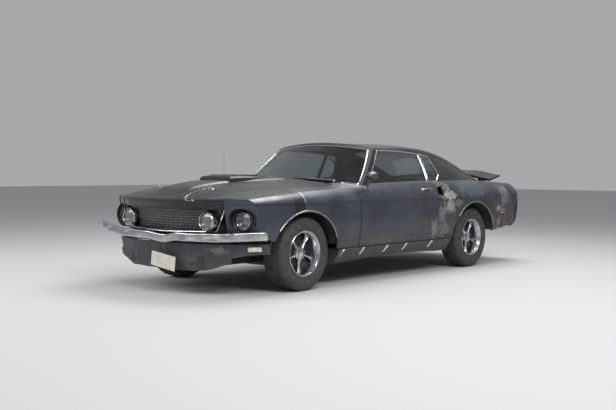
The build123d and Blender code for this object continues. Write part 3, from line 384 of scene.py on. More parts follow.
PLATE_HANGER_Z = 0.345


def finish_nodes():
    """Every CAD node starts with its slot's finish, then a few take their own."""
    for node, slot in slot_of.items():
        mesh = nodes[node].data
        mesh.materials.clear()
        mesh.materials.append(FINISHES[slot])
    for node, finish in (("fender_left", FENDER_PAINT), ("door_left", DOOR_PAINT)):
        nodes[node].data.materials[0] = finish
    plate = nodes["licence_plate"].data
    plate.materials.append(DARK)
    for face in plate.polygons:
        face.material_index = 1 if face.center.z > PLATE_HANGER_Z else 0


def link(name, bm, body, slot, finish=None, smooth=40):
    """A new piece from a bmesh: smooth below an angle, with its slot's finish or its own, on a body."""
    bmesh.ops.recalc_face_normals(bm, faces=bm.faces[:])
    mesh = bpy.data.meshes.new(name)
    bm.to_mesh(mesh)
    bm.free()
    mesh.shade_smooth()
    mesh.set_sharp_from_angle(angle=math.radians(smooth))
    mesh.materials.append(finish or FINISHES[slot])
    piece = bpy.data.objects.new(name, mesh)
    bpy.context.scene.collection.objects.link(piece)
    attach(piece, body)
    return piece


def turns(count, offset=0.0):
    """Even angles round a circle."""
    return [2 * math.pi * (k + offset) / count for k in range(count)]


def squarish(angle, power):
    """A point on a rounded square; a lower power has tighter corners."""
    return tuple(math.copysign(abs(c) ** power, c) for c in (math.cos(angle), math.sin(angle)))


def standing(place, way):
    """A place whose local Z points a way."""
    return Matrix.Translation(place) @ Vector(way).to_track_quat("Z", "Y").to_matrix().to_4x4()


def skin(bm, rings, closed=False):
    """Faces between closed rings of vertices, with end faces where the row is open."""
    ends = rings[1:] + rings[:1] if closed else rings[1:]
    for a, b in zip(rings, ends):
        for i in range(len(a)):
            bm.faces.new((a[i - 1], a[i], b[i], b[i - 1]))
    if not closed:
        bm.faces.new(rings[0])
        bm.faces.new(rings[-1])


def tube(bm, points, radius, closed=False, sides=8, lean=(0.31, 0.17, 0.93)):
    """A round bar along points; lean is a way that no stretch of it takes."""
    points = [Vector(p) for p in points]
    rings = []
    for i, p in enumerate(points):
        before = points[i - 1] if closed or i else p
        after = points[(i + 1) % len(points)] if closed or i < len(points) - 1 else p
        ahead = (after - before).normalized()
        side = ahead.cross(Vector(lean)).normalized()
        rings.append([bm.verts.new(p + radius * (math.cos(a) * side + math.sin(a) * side.cross(ahead)))
                      for a in turns(sides, 0.5)])
    skin(bm, rings, closed)


def lathe(bm, profile, place, segments, sink=None):
    """Turns a closed profile of (radius, height) about a place's local Z; sink(k, r, h) lowers a radius."""
    rings = []
    for k, a in enumerate(turns(segments)):
        ring = []
        for r, h in profile:
            low = r - (sink(k, r, h) if sink else 0)
            ring.append(bm.verts.new(place @ Vector((low * math.cos(a), low * math.sin(a), h))))
        rings.append(ring)
    skin(bm, rings, True)


trees = {}


def surface(node, start, direction):
    """Where a ray from start first meets a CAD node, and the way its face looks there."""
    if node not in trees:
        mesh = nodes[node].data
        corners = [v.co for v in mesh.vertices]
        trees[node] = BVHTree.FromPolygons(corners, [p.vertices for p in mesh.polygons])
    place, normal, _, _ = trees[node].ray_cast(Vector(start), Vector(direction))
    return place, normal


def beside(node, side, x, z):
    """A node's surface seen from the car's left (1) or right (-1)."""
    return surface(node, (x, side * FAR, z), (0, -side, 0))


def above(node, x, y):
    """A node's surface seen from above."""
    return surface(node, (x, y, FAR), (0, 0, -1))


def rims(node, direction, share):
    """The closed edge loops round a node's faces that look along direction."""
    bm = bmesh.new()
    bm.from_mesh(nodes[node].data)
    bmesh.ops.remove_doubles(bm, verts=bm.verts[:], dist=1e-5)
    way = Vector(direction).normalized()
    seen = {f for f in bm.faces if f.normal.dot(way) > share}
    after = {}
    for edge in bm.edges:
        if len([f for f in edge.link_faces if f in seen]) == 1:
            a, b = edge.verts
            after.setdefault(a, []).append(b)
            after.setdefault(b, []).append(a)
    loops = []
    while after:
        last = next(iter(after))
        loop = [last]
        while after.get(last):
            step = after[last].pop()
            after[step].remove(last)
            if not after[last]:
                del after[last]
            last = step
            loop.append(last)
        after.pop(last, None)
        loops.append([v.co.copy() for v in loop[:-1]])
    bm.free()
    return loops


def even(loop, step):
    """Points a step apart along a closed loop."""
    points, carry = [], 0.0
    for a, b in zip(loop, loop[1:] + loop[:1]):
        length = (b - a).length
        while carry < length:
            points.append(a.lerp(b, carry / length))
            carry += step
        carry -= length
    return points


def fade(value, low, high):
    """0 at low, 1 at high, smooth between them."""
    t = min(1, max(0, (value - low) / (high - low)))
    return t * t * (3 - 2 * t)


def between(low, high, share):
    """A share of the way from low to high."""
    return low + share * (high - low)


def nose_x(y, z, setback):
    """The car's front line at a height, set back along the car."""
    y = abs(y)
    x = NOSE_CENTRE_X - NOSE_RADIUS + math.sqrt(NOSE_RADIUS ** 2 - min(y, NOSE_MIDDLE[1]) ** 2)
    run = max(0, y - NOSE_MIDDLE[1]) / (NOSE_CORNER[1] - NOSE_MIDDLE[1])
    return x + run * (NOSE_CORNER[0] - NOSE_MIDDLE[0]) - setback + (z - NOSE_Z) * NOSE_LEAN


# Dented panels
CRUSHED = (
    # centre, radius, share
    ((-0.68, 0.9, 0.46), 0.30, 1.0),
    ((-0.73, 0.9, 0.83), 0.22, 0.9),
)
CRUSH_DEPTH = 0.030
TAIL_X = (-1.62, -2.05)
TAIL_PUSH = 0.014
TAIL_FOLD = 0.022
BUMPER_CAD_Z = 0.468
BUMPER_Z = 0.486
BUMPER_SLIM = 0.78
BUMPER_CRUSH_Y = 0.06
BUMPER_CRUSH_SPREAD = 0.12
BUMPER_CRUSH_BACK = 0.034
BUMPER_CRUSH_DROP = 0.026
BUMPER_KNOCK = 0.007
BUMPER_LIFT_RIGHT = 0.045
BUMPER_LIFT_LEFT = 0.012
SPOILER_DROOP = 0.055
VALANCE_TOP = 0.43
VALANCE_KNOCK = 0.014
VALANCE_TUCK = 0.12
VALANCE_TAPER = 0.5
WAVE = 0.005


def quarter_dent(p):
    """Crushed metal before the rear wheel, upright folds behind it, and a pushed-in tail."""
    crush = max(share * (1 - fade((p - Vector(centre)).length, 0, radius))
                for centre, radius, share in CRUSHED)
    lump = noise.noise(p * 13) + 0.6 * noise.noise(p * 29)
    fold = max(0, noise.noise(Vector((p.x * 17, 3.1, p.z * 4))) + 0.25)
    inward = CRUSH_DEPTH * crush * (0.6 + lump) + fade(p.x, *TAIL_X) * (TAIL_PUSH + TAIL_FOLD * fold)
    return Vector((0, -max(0, inward), 0))


def spoiler_droop(p):
    """The spoiler's ends bend down towards the quarters."""
    return Vector((0, 0, -SPOILER_DROOP * fade(abs(p.y), 0.30, 0.66)))


def bumper_dent(p):
    """A slim bumper with its crushed middle and its lifted right end."""
    middle = math.exp(-((p.y - BUMPER_CRUSH_Y) / BUMPER_CRUSH_SPREAD) ** 2)
    slim = BUMPER_Z + (p.z - BUMPER_CAD_Z) * BUMPER_SLIM - p.z
    lift = BUMPER_LIFT_RIGHT * fade(-p.y, 0.5, 0.92) + BUMPER_LIFT_LEFT * fade(p.y, 0.6, 0.9)
    back = BUMPER_CRUSH_BACK * middle + BUMPER_KNOCK * max(0, noise.noise(p * 14))
    return Vector((-back, 0, slim - BUMPER_CRUSH_DROP * middle + lift + WAVE * noise.noise(p * 7)))


def valance_dent(p):
    """Shallow knocks all along the apron, its foot tucked in and lifted towards the wheels."""
    lump = noise.noise(p * 7) + 0.5 * noise.noise(p * 19)
    below = max(0, VALANCE_TOP - p.z)
    back = VALANCE_KNOCK * max(0, lump + 0.15) + VALANCE_TUCK * below
    lift = VALANCE_TAPER * below * fade(abs(p.y), 0.40, 0.86)
    return Vector((-back, 0, lift + WAVE * noise.noise(p * 5)))


DENTED = (
    # node, low and high corner of the finely cut zone, step of its cuts, dent, finish, smooth angle
    ("quarter_left", (-2.33, 0.7, 0.36), (-0.57, 0.7, 0.94), 0.022, quarter_dent, QUARTER_PAINT, 24),
    ("rear_spoiler", (-2.3, -0.62, 0.9), (-2.06, 0.62, 0.9), 0.04, spoiler_droop, None, 30),
    ("front_bumper", (1.97, -0.9, 0.46), (1.97, 0.9, 0.51), 0.025, bumper_dent, None, 34),
    ("front_valance", (1.92, -0.86, 0.22), (2.3, 0.86, 0.44), 0.03, valance_dent, VALANCE_PAINT, 30),
)


def dented_panels():
    """Finely cut copies of CAD nodes, moved by their dents, which stand for them."""
    for node, low, high, step, dent, finish, smooth in DENTED:
        bm = bmesh.new()
        bm.from_mesh(nodes[node].data)
        bmesh.ops.remove_doubles(bm, verts=bm.verts[:], dist=1e-5)
        for axis in range(3):
            for k in range(int((high[axis] - low[axis]) / step) + 1):
                at, way = Vector(low), Vector((0, 0, 0))
                at[axis] += k * step
                way[axis] = 1
                whole = bm.verts[:] + bm.edges[:] + bm.faces[:]
                bmesh.ops.bisect_plane(bm, geom=whole, plane_co=at, plane_no=way)
        for v in bm.verts:
            v.co += dent(v.co)
        piece = link(node + "_dented", bm, body_of[node], slot_of[node], finish, smooth)
        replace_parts(piece, node)


# Wheels, as (radius, height from the wheel's middle outwards)
TYRE_HALF = (
    (0.199, 0.092), (0.206, 0.103), (0.222, 0.1085), (0.226, 0.1065), (0.230, 0.1095),
    (0.258, 0.1125), (0.262, 0.1105), (0.266, 0.1125), (0.292, 0.1075), (0.304, 0.101),
    (0.313, 0.092), (0.319, 0.082), (0.3205, 0.058), (0.3135, 0.056), (0.3135, 0.049),
    (0.3215, 0.047), (0.322, 0.022), (0.3145, 0.020), (0.3145, 0.013), (0.322, 0.011),
)
TRIM_RING = (
    (0.1985, 0.0965), (0.1995, 0.1035), (0.196, 0.106), (0.1905, 0.1035), (0.1865, 0.095),
    (0.1815, 0.0925), (0.1785, 0.082), (0.1735, 0.0745), (0.1715, 0.064), (0.1735, 0.064),
    (0.180, 0.080), (0.189, 0.093),
)
BARREL = (
    (0.197, 0.100), (0.197, 0.093), (0.180, 0.086), (0.175, -0.086), (0.197, -0.093), (0.197, -0.100),
    (0.190, -0.100), (0.167, -0.086), (0.167, 0.050), (0.172, 0.066), (0.180, 0.088), (0.190, 0.100),
)
DRUM = ((0.0005, 0.010), (0.118, 0.010), (0.132, 0.004), (0.167, 0), (0.167, -0.030), (0.0005, -0.030))
HUB = (
    (0.0005, 0.064), (0.020, 0.064), (0.030, 0.060), (0.033, 0.050), (0.056, 0.045), (0.061, 0.034),
    (0.061, 0.005), (0.0005, 0.005),
)
NUT = ((0.0005, 0.060), (0.0055, 0.060), (0.0085, 0.056), (0.0095, 0.044), (0.0005, 0.044))
NUT_CIRCLE = 0.045
SHOULDER = 0.075
TREAD_CUT = 0.0065
SPOKE_COUNT = 5
SPOKE = (
    # radius, half width, height of the face
    (0.050, 0.0190, 0.042), (0.075, 0.0130, 0.040), (0.105, 0.0115, 0.038), (0.135, 0.0130, 0.040),
    (0.158, 0.0190, 0.044), (0.172, 0.0320, 0.048),
)
# Share of the half width and depth below the face, of the hollowed front and of the back
SPOKE_FRONT = ((1, 0.010), (0.62, 0), (0.32, 0.005))
SPOKE_BACK = (0.8, 0.030)


def wheel_place(wheel):
    """A wheel's middle, its local Z pointing out of the car."""
    low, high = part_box("rim_" + wheel)
    side = 1 if wheel.endswith("left") else -1
    return Matrix.Translation((low + high) / 2) @ Matrix.Rotation(-side * math.pi / 2, 4, "X")


def tread(k, r, h):
    """Cross cuts in the tread's shoulders and ribs."""
    if r < 0.312 or r < 0.316 and abs(h) < SHOULDER:
        return 0
    cut = k % 4 == 0 if abs(h) > SHOULDER - 0.02 else k % 6 == 3
    return TREAD_CUT if cut else 0


def spoke(bm, place):
    """One tapered spoke with a hollow along its face."""
    half_section = (SPOKE_BACK, *SPOKE_FRONT)
    section = [(-share, depth) for share, depth in half_section] + list(half_section[::-1])
    skin(bm, [[bm.verts.new(place @ Vector((radius, half * share, face - depth)))
               for share, depth in section] for radius, half, face in SPOKE])


def dress_wheel(wheel):
    """A grooved tyre, a bright five-spoke rim with a stepped ring and nuts, and a dark drum behind it."""
    place, body = wheel_place(wheel), "wheel_" + wheel
    bm = bmesh.new()
    lathe(bm, list(TYRE_HALF) + [(r, -h) for r, h in reversed(TYRE_HALF)], place, 144, tread)
    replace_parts(link("tyre_" + wheel + "_grooved", bm, body, "tyre", smooth=32), "tyre_" + wheel)
    bm = bmesh.new()
    lathe(bm, BARREL, place, 72)
    lathe(bm, TRIM_RING, place, 72)
    lathe(bm, HUB, place, 48)
    for a in turns(SPOKE_COUNT):
        turn = place @ Matrix.Rotation(a + math.pi / 2, 4, "Z")
        spoke(bm, turn)
        between = Matrix.Rotation(math.pi / SPOKE_COUNT, 4, "Z")
        lathe(bm, NUT, turn @ between @ Matrix.Translation((NUT_CIRCLE, 0, 0)), 6)
    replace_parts(link("rim_" + wheel + "_spoked", bm, body, "wheel", smooth=30), "rim_" + wheel)
    bm = bmesh.new()
    lathe(bm, DRUM, place, 48)
    link("drum_" + wheel, bm, body, "steel", DARK, 30)


LENS_RADIUS = 0.0725
LAMP_FRONTS = ((2.245, *INNER_LAMP), (2.072, *OUTER_LAMP))
LAMP_RING = (
    (0.0715, -0.020), (0.0715, 0.008), (0.0745, 0.013), (0.079, 0.009), (0.0815, -0.004), (0.0815, -0.020),
)
LAMP_BOWL = ((0.0825, -0.014), (0.106, 0.030), (0.1085, 0.028), (0.085, -0.018))
BEZEL_RADIUS = 0.0045


def dress_lamps():
    """Pressed lenses and bright rings for the headlamps, dark bowls for the outer ones, tail-lamp bezels."""
    mesh = nodes["headlamps"].data
    mesh.materials.append(FINISHES["chrome"])
    for face in mesh.polygons:
        _, y, z = face.center
        away = min(math.hypot(abs(y) - lamp[0], z - lamp[1]) for lamp in (INNER_LAMP, OUTER_LAMP))
        face.material_index = 0 if away < LENS_RADIUS and face.normal.x > 0.2 else 1
    rings, bowls = bmesh.new(), bmesh.new()
    for x, y, z in LAMP_FRONTS:
        for side in (-1, 1):
            at = Matrix.Translation((x, side * y, z)) @ Matrix.Rotation(math.pi / 2, 4, "Y")
            lathe(rings, LAMP_RING, at, 48)
            if y == OUTER_LAMP[0]:
                lathe(bowls, LAMP_BOWL, at, 48)
    link("headlamp_rings", rings, "chassis", "chrome")
    link("headlamp_bowls", bowls, "chassis", "black_paint", DARK)
    bm = bmesh.new()
    for loop in rims("tail_lamps", (-1, 0, 0), 0.8):
        tube(bm, even(loop, 0.012), BEZEL_RADIUS, True, lean=(1, 0, 0))
    link("tail_lamp_bezels", bm, "chassis", "chrome")


# Setback from the nose line and height of the header's corners
HEADER = ((0.018, 0.716), (0.010, 0.724), (0.008, 0.778), (0.022, 0.778))
HEADER_HALF = 0.632


def header_panel():
    """The painted strip between the grille and the hood."""
    bm = bmesh.new()
    rings = []
    for k in range(41):
        y = HEADER_HALF * (k / 20 - 1)
        rings.append([bm.verts.new((nose_x(y, z, back), y, z)) for back, z in HEADER])
    skin(bm, rings)
    link("header_panel", bm, "chassis", "black_paint")


BULGE_X = (0.960, 2.305)
BULGE_HALF = (0.260, 0.175)
BULGE_RISE = 0.020
BULGE_SUNK = (0.001, 0.004)


def hood_bulge():
    """The hood's raised middle, which narrows and sinks towards the nose."""
    bm = bmesh.new()
    rings = []
    for i in range(49):
        share = i / 48
        x, half = between(*BULGE_X, share), between(*BULGE_HALF, share)
        rise = BULGE_RISE * fade(share, 0, 0.06) * (1 - fade(share, 0.86, 1))
        top, foot = [], []
        for k in range(41):
            u = k / 20 - 1
            place, _ = above("hood", x, u * half)
            height = rise * (1 - fade(abs(u), 0.82, 1)) - BULGE_SUNK[0]
            top.append(bm.verts.new(place + Vector((0, 0, height))))
            foot.append(bm.verts.new(place - Vector((0, 0, BULGE_SUNK[1]))))
        rings.append(top + foot[::-1])
    skin(bm, rings)
    link("hood_bulge", bm, "hood", "black_paint")


SCOOP = (
    # x, half width, top
    (1.690, 0.190, 0.966), (1.680, 0.204, 0.976), (1.640, 0.209, 0.983), (1.500, 0.210, 0.985),
    (1.330, 0.205, 0.980), (1.180, 0.190, 0.970), (1.080, 0.165, 0.955), (1.010, 0.130, 0.940),
)
SCOOP_FOOT = 0.915
SCOOP_ROUND = 0.35
SLOTS_X = (1.60, 1.54, 1.48, 1.42, 1.36, 1.30)
SLOT_HALF = 0.15
SLOT_Z = 0.9835
SLOT_RADIUS = 0.0065
MOUTH = (1.691, 0.948)
MOUTH_HALF = 0.16
MOUTH_RADIUS = 0.012


def scoop():
    """The hood scoop's rounded cover, with dark bars across its top and its closed front as painted shade
    for its slots and mouth.
    """
    bm = bmesh.new()
    arch = [squarish(math.pi * k / 24, SCOOP_ROUND) for k in range(25)]
    skin(bm, [[bm.verts.new((x, half * y, SCOOP_FOOT + rise * (top - SCOOP_FOOT))) for y, rise in arch]
              for x, half, top in SCOOP])
    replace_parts(link("hood_scoop_cover", bm, "hood", "black_paint", smooth=35), "hood_scoop")
    # Dark bars over the top and on the closed front: painted shade standing in for the open slots and mouth
    bm = bmesh.new()
    for x in SLOTS_X:
        tube(bm, [(x, SLOT_HALF * (k / 5 - 1), SLOT_Z) for k in range(11)], SLOT_RADIUS, sides=6)
    tube(bm, [(MOUTH[0], MOUTH_HALF * (k / 8 - 1), MOUTH[1]) for k in range(17)], MOUTH_RADIUS, sides=6)
    link("hood_scoop_shade_bars", bm, "hood", "trim", DARK)


PIN = (2.040, 0.330)
PIN_TOP = (
    (0.0005, 0.020), (0.006, 0.020), (0.0075, 0.016), (0.0075, 0.004), (0.022, 0.003), (0.026, 0),
    (0.026, -0.004), (0.0005, -0.004),
)
CLIP_RADIUS = 0.011
CLIP_HEIGHT = 0.012
CLIP_WIRE = 0.0018
EYE = Vector((2.311, 0.405, 0.784))
EYE_RADIUS = 0.006


def hood_pins():
    """Two pins with their plates on the hood, and the eye that holds the cord's far end."""
    bm = bmesh.new()
    for side in (-1, 1):
        place, normal = above("hood", PIN[0], side * PIN[1])
        lathe(bm, PIN_TOP, standing(place, normal), 28)
        clip = [place + normal * CLIP_HEIGHT + CLIP_RADIUS * Vector((math.cos(a), math.sin(a), 0))
                for a in turns(16)]
        tube(bm, clip, CLIP_WIRE, True, 6)
    ring = [EYE + EYE_RADIUS * Vector((math.cos(a), 0, math.sin(a))) for a in turns(16)]
    tube(bm, ring, CLIP_WIRE, True, 6, (0, 1, 0))
    tube(bm, [EYE - Vector((0.005, 0, 0)), EYE - Vector((0.016, 0, 0))], 0.003)
    link("hood_pins", bm, "hood", "chrome")


MIRROR_HEAD = (0.553, 0.900, 0.985)
MIRROR_STRETCH = (0.86, 1.12, 1, 1)
MIRROR_BOWL = (
    (0.0005, 0.082), (0.016, 0.076), (0.031, 0.054), (0.043, 0.020), (0.050, -0.014), (0.047, -0.020),
    (0.045, -0.016), (0.0005, -0.016),
)
MIRROR_STALK = ((0.560, 0.842, 0.880), (0.558, 0.862, 0.925), (0.553, 0.885, 0.965))
MIRROR_STALK_RADIUS = 0.010
MIRROR_FOOT = ((0.0005, 0.010), (0.016, 0.008), (0.026, 0), (0.0005, -0.004))


def mirror():
    """The left door's round-cornered mirror on its stalk."""
    bm = bmesh.new()
    head = Matrix.Translation(MIRROR_HEAD) @ Matrix.Rotation(math.pi / 2, 4, "Y")
    lathe(bm, MIRROR_BOWL, head @ Matrix.Diagonal(MIRROR_STRETCH), 40)
    tube(bm, MIRROR_STALK, MIRROR_STALK_RADIUS, sides=12)
    lathe(bm, MIRROR_FOOT, standing(*above("door_left", *MIRROR_STALK[0][:2])), 24)
    link("door_mirror", bm, "door_left", "paint")


# Ends of each blade across and up, the arm's end first
WIPERS = (((0.520, 0.930), (0.070, 0.956)), ((-0.040, 0.942), (-0.490, 0.966)))
BLADE_LIFT = 0.006
BLADE_RADIUS = 0.0055
ARM_LIFT = 0.014
ARM_RADIUS = 0.0045
PIVOT_RADIUS = 0.007
PIVOT = Vector((0.045, 0.012, -0.012))


def wipers():
    """Two blades low on the windshield with their arms."""
    blades, arms = bmesh.new(), bmesh.new()
    for (y0, z0), (y1, z1) in WIPERS:
        line = []
        for k in range(13):
            start = (FAR, between(y0, y1, k / 12), between(z0, z1, k / 12))
            line.append(surface("windshield", start, (-1, 0, 0)))
        tube(blades, [p + n * BLADE_LIFT for p, n in line], BLADE_RADIUS, sides=6)
        arm = [p + n * ARM_LIFT for p, n in line[:8]]
        tube(arms, arm, ARM_RADIUS)
        tube(arms, [arm[0], line[0][0] + PIVOT], PIVOT_RADIUS)
    link("wiper_blades", blades, "chassis", "trim")
    link("wiper_arms", arms, "chassis", "chrome")


AERIAL = (0.900, -0.700)
AERIAL_TOP = 1.240
AERIAL_RADIUS = 0.002
AERIAL_FOOT = ((0.0005, 0.030), (0.006, 0.028), (0.010, 0.006), (0.018, 0), (0.0005, -0.004))
# Place along and height of an exhaust pipe, and the profile of its tip
PIPE = ((-0.95, 0.235), (-1.30, 0.250), (-1.75, 0.215), (-2.10, 0.200), (-2.32, 0.196))
PIPE_Y = 0.30
PIPE_RADIUS = 0.029
PIPE_TIP = ((0.031, -0.06), (0.034, -0.05), (0.034, 0.030), (0.029, 0.030), (0.027, -0.05))
PIPE_TIP_X = -2.300


def aerial_and_pipes():
    """The aerial on the right fender, and two exhaust pipes under the tail."""
    foot, _ = above("fender_right", *AERIAL)
    bm = bmesh.new()
    tube(bm, [foot, (foot.x, foot.y, AERIAL_TOP)], AERIAL_RADIUS)
    lathe(bm, AERIAL_FOOT, Matrix.Translation(foot), 20)
    link("aerial", bm, "chassis", "chrome")
    bm = bmesh.new()
    for y in (-PIPE_Y, PIPE_Y):
        tube(bm, [(x, y, z) for x, z in PIPE], PIPE_RADIUS, sides=16)
        tip = Matrix.Translation((PIPE_TIP_X, y, PIPE[-1][1])) @ Matrix.Rotation(-math.pi / 2, 4, "Y")
        lathe(bm, PIPE_TIP, tip, 24)
    link("exhaust_pipes", bm, "chassis", "steel")


MARKERS = (
    # node it sits on, side of the car, place along and up, length, height, slot
    ("front_valance", 1, 2.013, 0.392, 0.11, 0.034, "plate_white"),
    ("front_valance", -1, 2.013, 0.392, 0.11, 0.034, "plate_white"),
    ("quarter_left", 1, -1.869, 0.590, 0.10, 0.036, "red_lens"),
    ("quarter_right", -1, -1.869, 0.590, 0.10, 0.036, "red_lens"),
)
MARKER_DEPTH = 0.012
MARKER_ROUND = 0.3
MARKER_FRAME = 0.004
# Shares of the outline and of the depth
MARKER_LENS = ((1, -0.6), (1, 0.45), (0.9, 0.8), (0.5, 1.0))


def marker_lamps():
    """Small side lamps in bright frames."""
    corners = [squarish(a, MARKER_ROUND) for a in turns(40, 0.5)]
    for k, (node, side, x, z, length, height, slot) in enumerate(MARKERS):
        place, normal = beside(node, side, x, z)
        across = Vector((0, 0, 1)).cross(normal).normalized()
        turn = Matrix((across, normal.cross(across), normal)).transposed().to_4x4()
        size = Matrix.Diagonal((length / 2, height / 2, MARKER_DEPTH, 1))
        at = Matrix.Translation(place) @ turn @ size
        bm = bmesh.new()
        skin(bm, [[bm.verts.new(at @ Vector((u * share, v * share, deep))) for u, v in corners]
                  for share, deep in MARKER_LENS])
        link(f"marker_lens_{k}", bm, "chassis", slot, smooth=50)
        bm = bmesh.new()
        edge = [at @ Vector((u * 1.03, v * 1.06, 0.3)) for u, v in corners]
        tube(bm, edge, MARKER_FRAME, True, 6, normal)
        link(f"marker_frame_{k}", bm, "chassis", "chrome")


# Panels and the places of their axles
ARCHES = (("fender_", 1.430), ("quarter_", -1.313))
ARCH_REACH = 0.37
ARCH_FOOT_Z = 0.42
LIP_RADIUS = 0.0085
LIP_LIFT = Vector((0, 0, 0.005))


def arch_edge(node, side, x):
    """The lowest point of a panel's outer face at one place along the car, or None."""
    for k in range(150):
        place, _ = beside(node, side, x, 0.35 + 0.003 * k)
        if place is not None and abs(place.y) > 0.8:
            return place
    return None


def arch_lips():
    """Rolled edges round the wheel openings, worn bright on the left."""
    for panel, middle in ARCHES:
        for name, side in SIDES:
            edges = [arch_edge(panel + name, side, middle + ARCH_REACH * (k / 40 - 1)) for k in range(81)]
            lip = [p + LIP_LIFT for p in edges if p is not None and p.z > ARCH_FOOT_Z]
            bm = bmesh.new()
            tube(bm, lip, LIP_RADIUS, lean=(0, 1, 0))
            link(panel + name + "_lip", bm, "chassis", "paint", BARE_METAL if side > 0 else None)


CHEEK_Y = (0.640, 0.868)
CHEEK_Z = (0.516, 0.742)
CHEEK_HOLE = 0.1
CHEEK_BORDER = 0.004
# Setbacks of their fronts and backs from the nose line
CHEEK_BACK = (0.004, 0.020)
HOLE_BACK = (0.006, 0.030)


def cheek_reach(middle, way):
    """How far a line from the lamp's middle runs inside the cheek."""
    return min(((high if run > 0 else low) - start) / run
               for start, run, (low, high) in zip(middle, way, (CHEEK_Y, CHEEK_Z)) if abs(run) > 1e-6)


def cheeks():
    """The painted panels round the outer lamps, flush with the fenders' front edges."""
    middle = Vector(OUTER_LAMP)
    hole, border = [], []
    for a in turns(64):
        way = Vector((math.cos(a), math.sin(a)))
        reach = cheek_reach(middle, way)
        hole.append(middle + way * min(CHEEK_HOLE, reach - CHEEK_BORDER))
        edge = middle + way * reach
        if way.y > 0.5:
            fender, _ = above("fender_left", nose_x(edge.x, edge.y, 0.010), edge.x)
            edge.y = max(edge.y, fender.z - CHEEK_BORDER) if fender else edge.y
        border.append(edge)
    rows = ((border, CHEEK_BACK[0]), (hole, HOLE_BACK[0]), (hole, HOLE_BACK[1]), (border, CHEEK_BACK[1]))
    for name, side in SIDES:
        bm = bmesh.new()
        skin(bm, [[bm.verts.new((nose_x(p.x, p.y, back), side * p.x, p.y)) for p in line]
                  for line, back in rows], True)
        link("lamp_cheek_" + name, bm, "chassis", "paint")


# Corners of the grille's opening across and up, and the point in the middle of its foot
GRILLE_TOP = (0.633, 0.722)
GRILLE_FOOT = (0.550, 0.531)
GRILLE_POINT_Z = 0.515
GRILLE_EDGE = 0.012
LAMP_CLEAR = 0.092
WIRE_PITCH = (0.028, 0.023)
WIRE_RADIUS = 0.0028
WIRE_BACK = 0.069
STRIP_RADIUS = 0.0055
STRIP_BACK = 0.024


def wire_runs(samples):
    """Runs of points inside the grille's opening and clear of its lamps."""
    runs, run = [], []
    for y, z in samples:
        share = (z - GRILLE_FOOT[1]) / (GRILLE_TOP[1] - GRILLE_FOOT[1])
        side = between(GRILLE_FOOT[0], GRILLE_TOP[0], share) - GRILLE_EDGE
        foot = between(GRILLE_POINT_Z, GRILLE_FOOT[1], abs(y) / GRILLE_FOOT[0]) + GRILLE_EDGE
        lamp = math.hypot(abs(y) - INNER_LAMP[0], z - INNER_LAMP[1])
        inside = abs(y) < side and foot < z < GRILLE_TOP[1] - GRILLE_EDGE
        if inside and lamp > LAMP_CLEAR:
            run.append((nose_x(y, z, WIRE_BACK), y, z))
        elif run:
            runs.append(run)
            run = []
    return [r for r in runs + [run] if len(r) > 1]


def grille_mesh():
    """Fine wires over the grid, and a thin bright strip round the sides and foot of the opening."""
    bm = bmesh.new()
    for k in range(-22, 23):
        for run in wire_runs([(k * WIRE_PITCH[0], GRILLE_POINT_Z + 0.008 * i) for i in range(28)]):
            tube(bm, run, WIRE_RADIUS, sides=6, lean=(1, 0.1, 0))
    for k in range(9):
        for run in wire_runs([(-0.64 + 0.02 * i, 0.530 + WIRE_PITCH[1] * k) for i in range(65)]):
            tube(bm, run, WIRE_RADIUS, sides=6)
    link("grille_wires", bm, "chassis", "black_paint", WIRE)
    half = (GRILLE_TOP, GRILLE_FOOT)
    corners = (*half, (0, GRILLE_POINT_Z), *((-y, z) for y, z in reversed(half)))
    points = []
    for (y0, z0), (y1, z1) in zip(corners, corners[1:]):
        for i in range(16):
            y, z = between(y0, y1, i / 16), between(z0, z1, i / 16)
            points.append((nose_x(y, z, STRIP_BACK), y, z))
    bm = bmesh.new()
    tube(bm, points, STRIP_RADIUS)
    link("grille_strip", bm, "chassis", "chrome")


PANES = (
    # node, ending of its strip's name, way its outer face looks, least agreement with it, radius
    ("windshield", "_strip", (0.7, 0, 0.7), 0.45, 0.009),
    ("rear_window", "_strip", (-0.4, 0, 0.9), 0.5, 0.008),
    ("door_glass_left", "_strip", (0, 0.9, 0.4), 0.6, 0.007),
    ("door_glass_right", "_strip", (0, -0.9, 0.4), 0.6, 0.007),
    ("quarter_glass", "_left_strip", (0, 0.9, 0.4), 0.6, 0.008),
    ("quarter_glass", "_right_strip", (0, -0.9, 0.4), 0.6, 0.008),
)


def glass_trim():
    """Bright strips round every pane."""
    for node, ending, way, share, radius in PANES:
        bm = bmesh.new()
        for loop in rims(node, way, share):
            points = even(loop, 0.02)
            if len(points) > 12:
                tube(bm, points, radius, True, lean=way)
        link(node + ending, bm, body_of[node], "chrome")


SEATS = (
    # node, place along, up and across, turn in degrees, size along, across and thick, pleats
    ("front_seats", 0.040, 0.336, 0.39, -3, (0.44, 0.47, 0.186), 6),
    ("front_seats", -0.312, 0.665, 0.39, -117, (0.63, 0.46, 0.13), 8),
    ("rear_seat", -0.735, 0.405, 0.285, -4, (0.31, 0.52, 0.125), 4),
    ("rear_seat", -0.985, 0.630, 0.285, -111, (0.42, 0.52, 0.10), 5),
)
# The pads' shape, as shares of their half sizes
PAD_ROUND = 4.5
PLEAT_AREA = (0.82, 0.72)
PLEAT_DEPTH = 0.12
PIPING_AT = 0.74
PIPING_WIDTH = 0.05
PIPING_DEPTH = 0.10


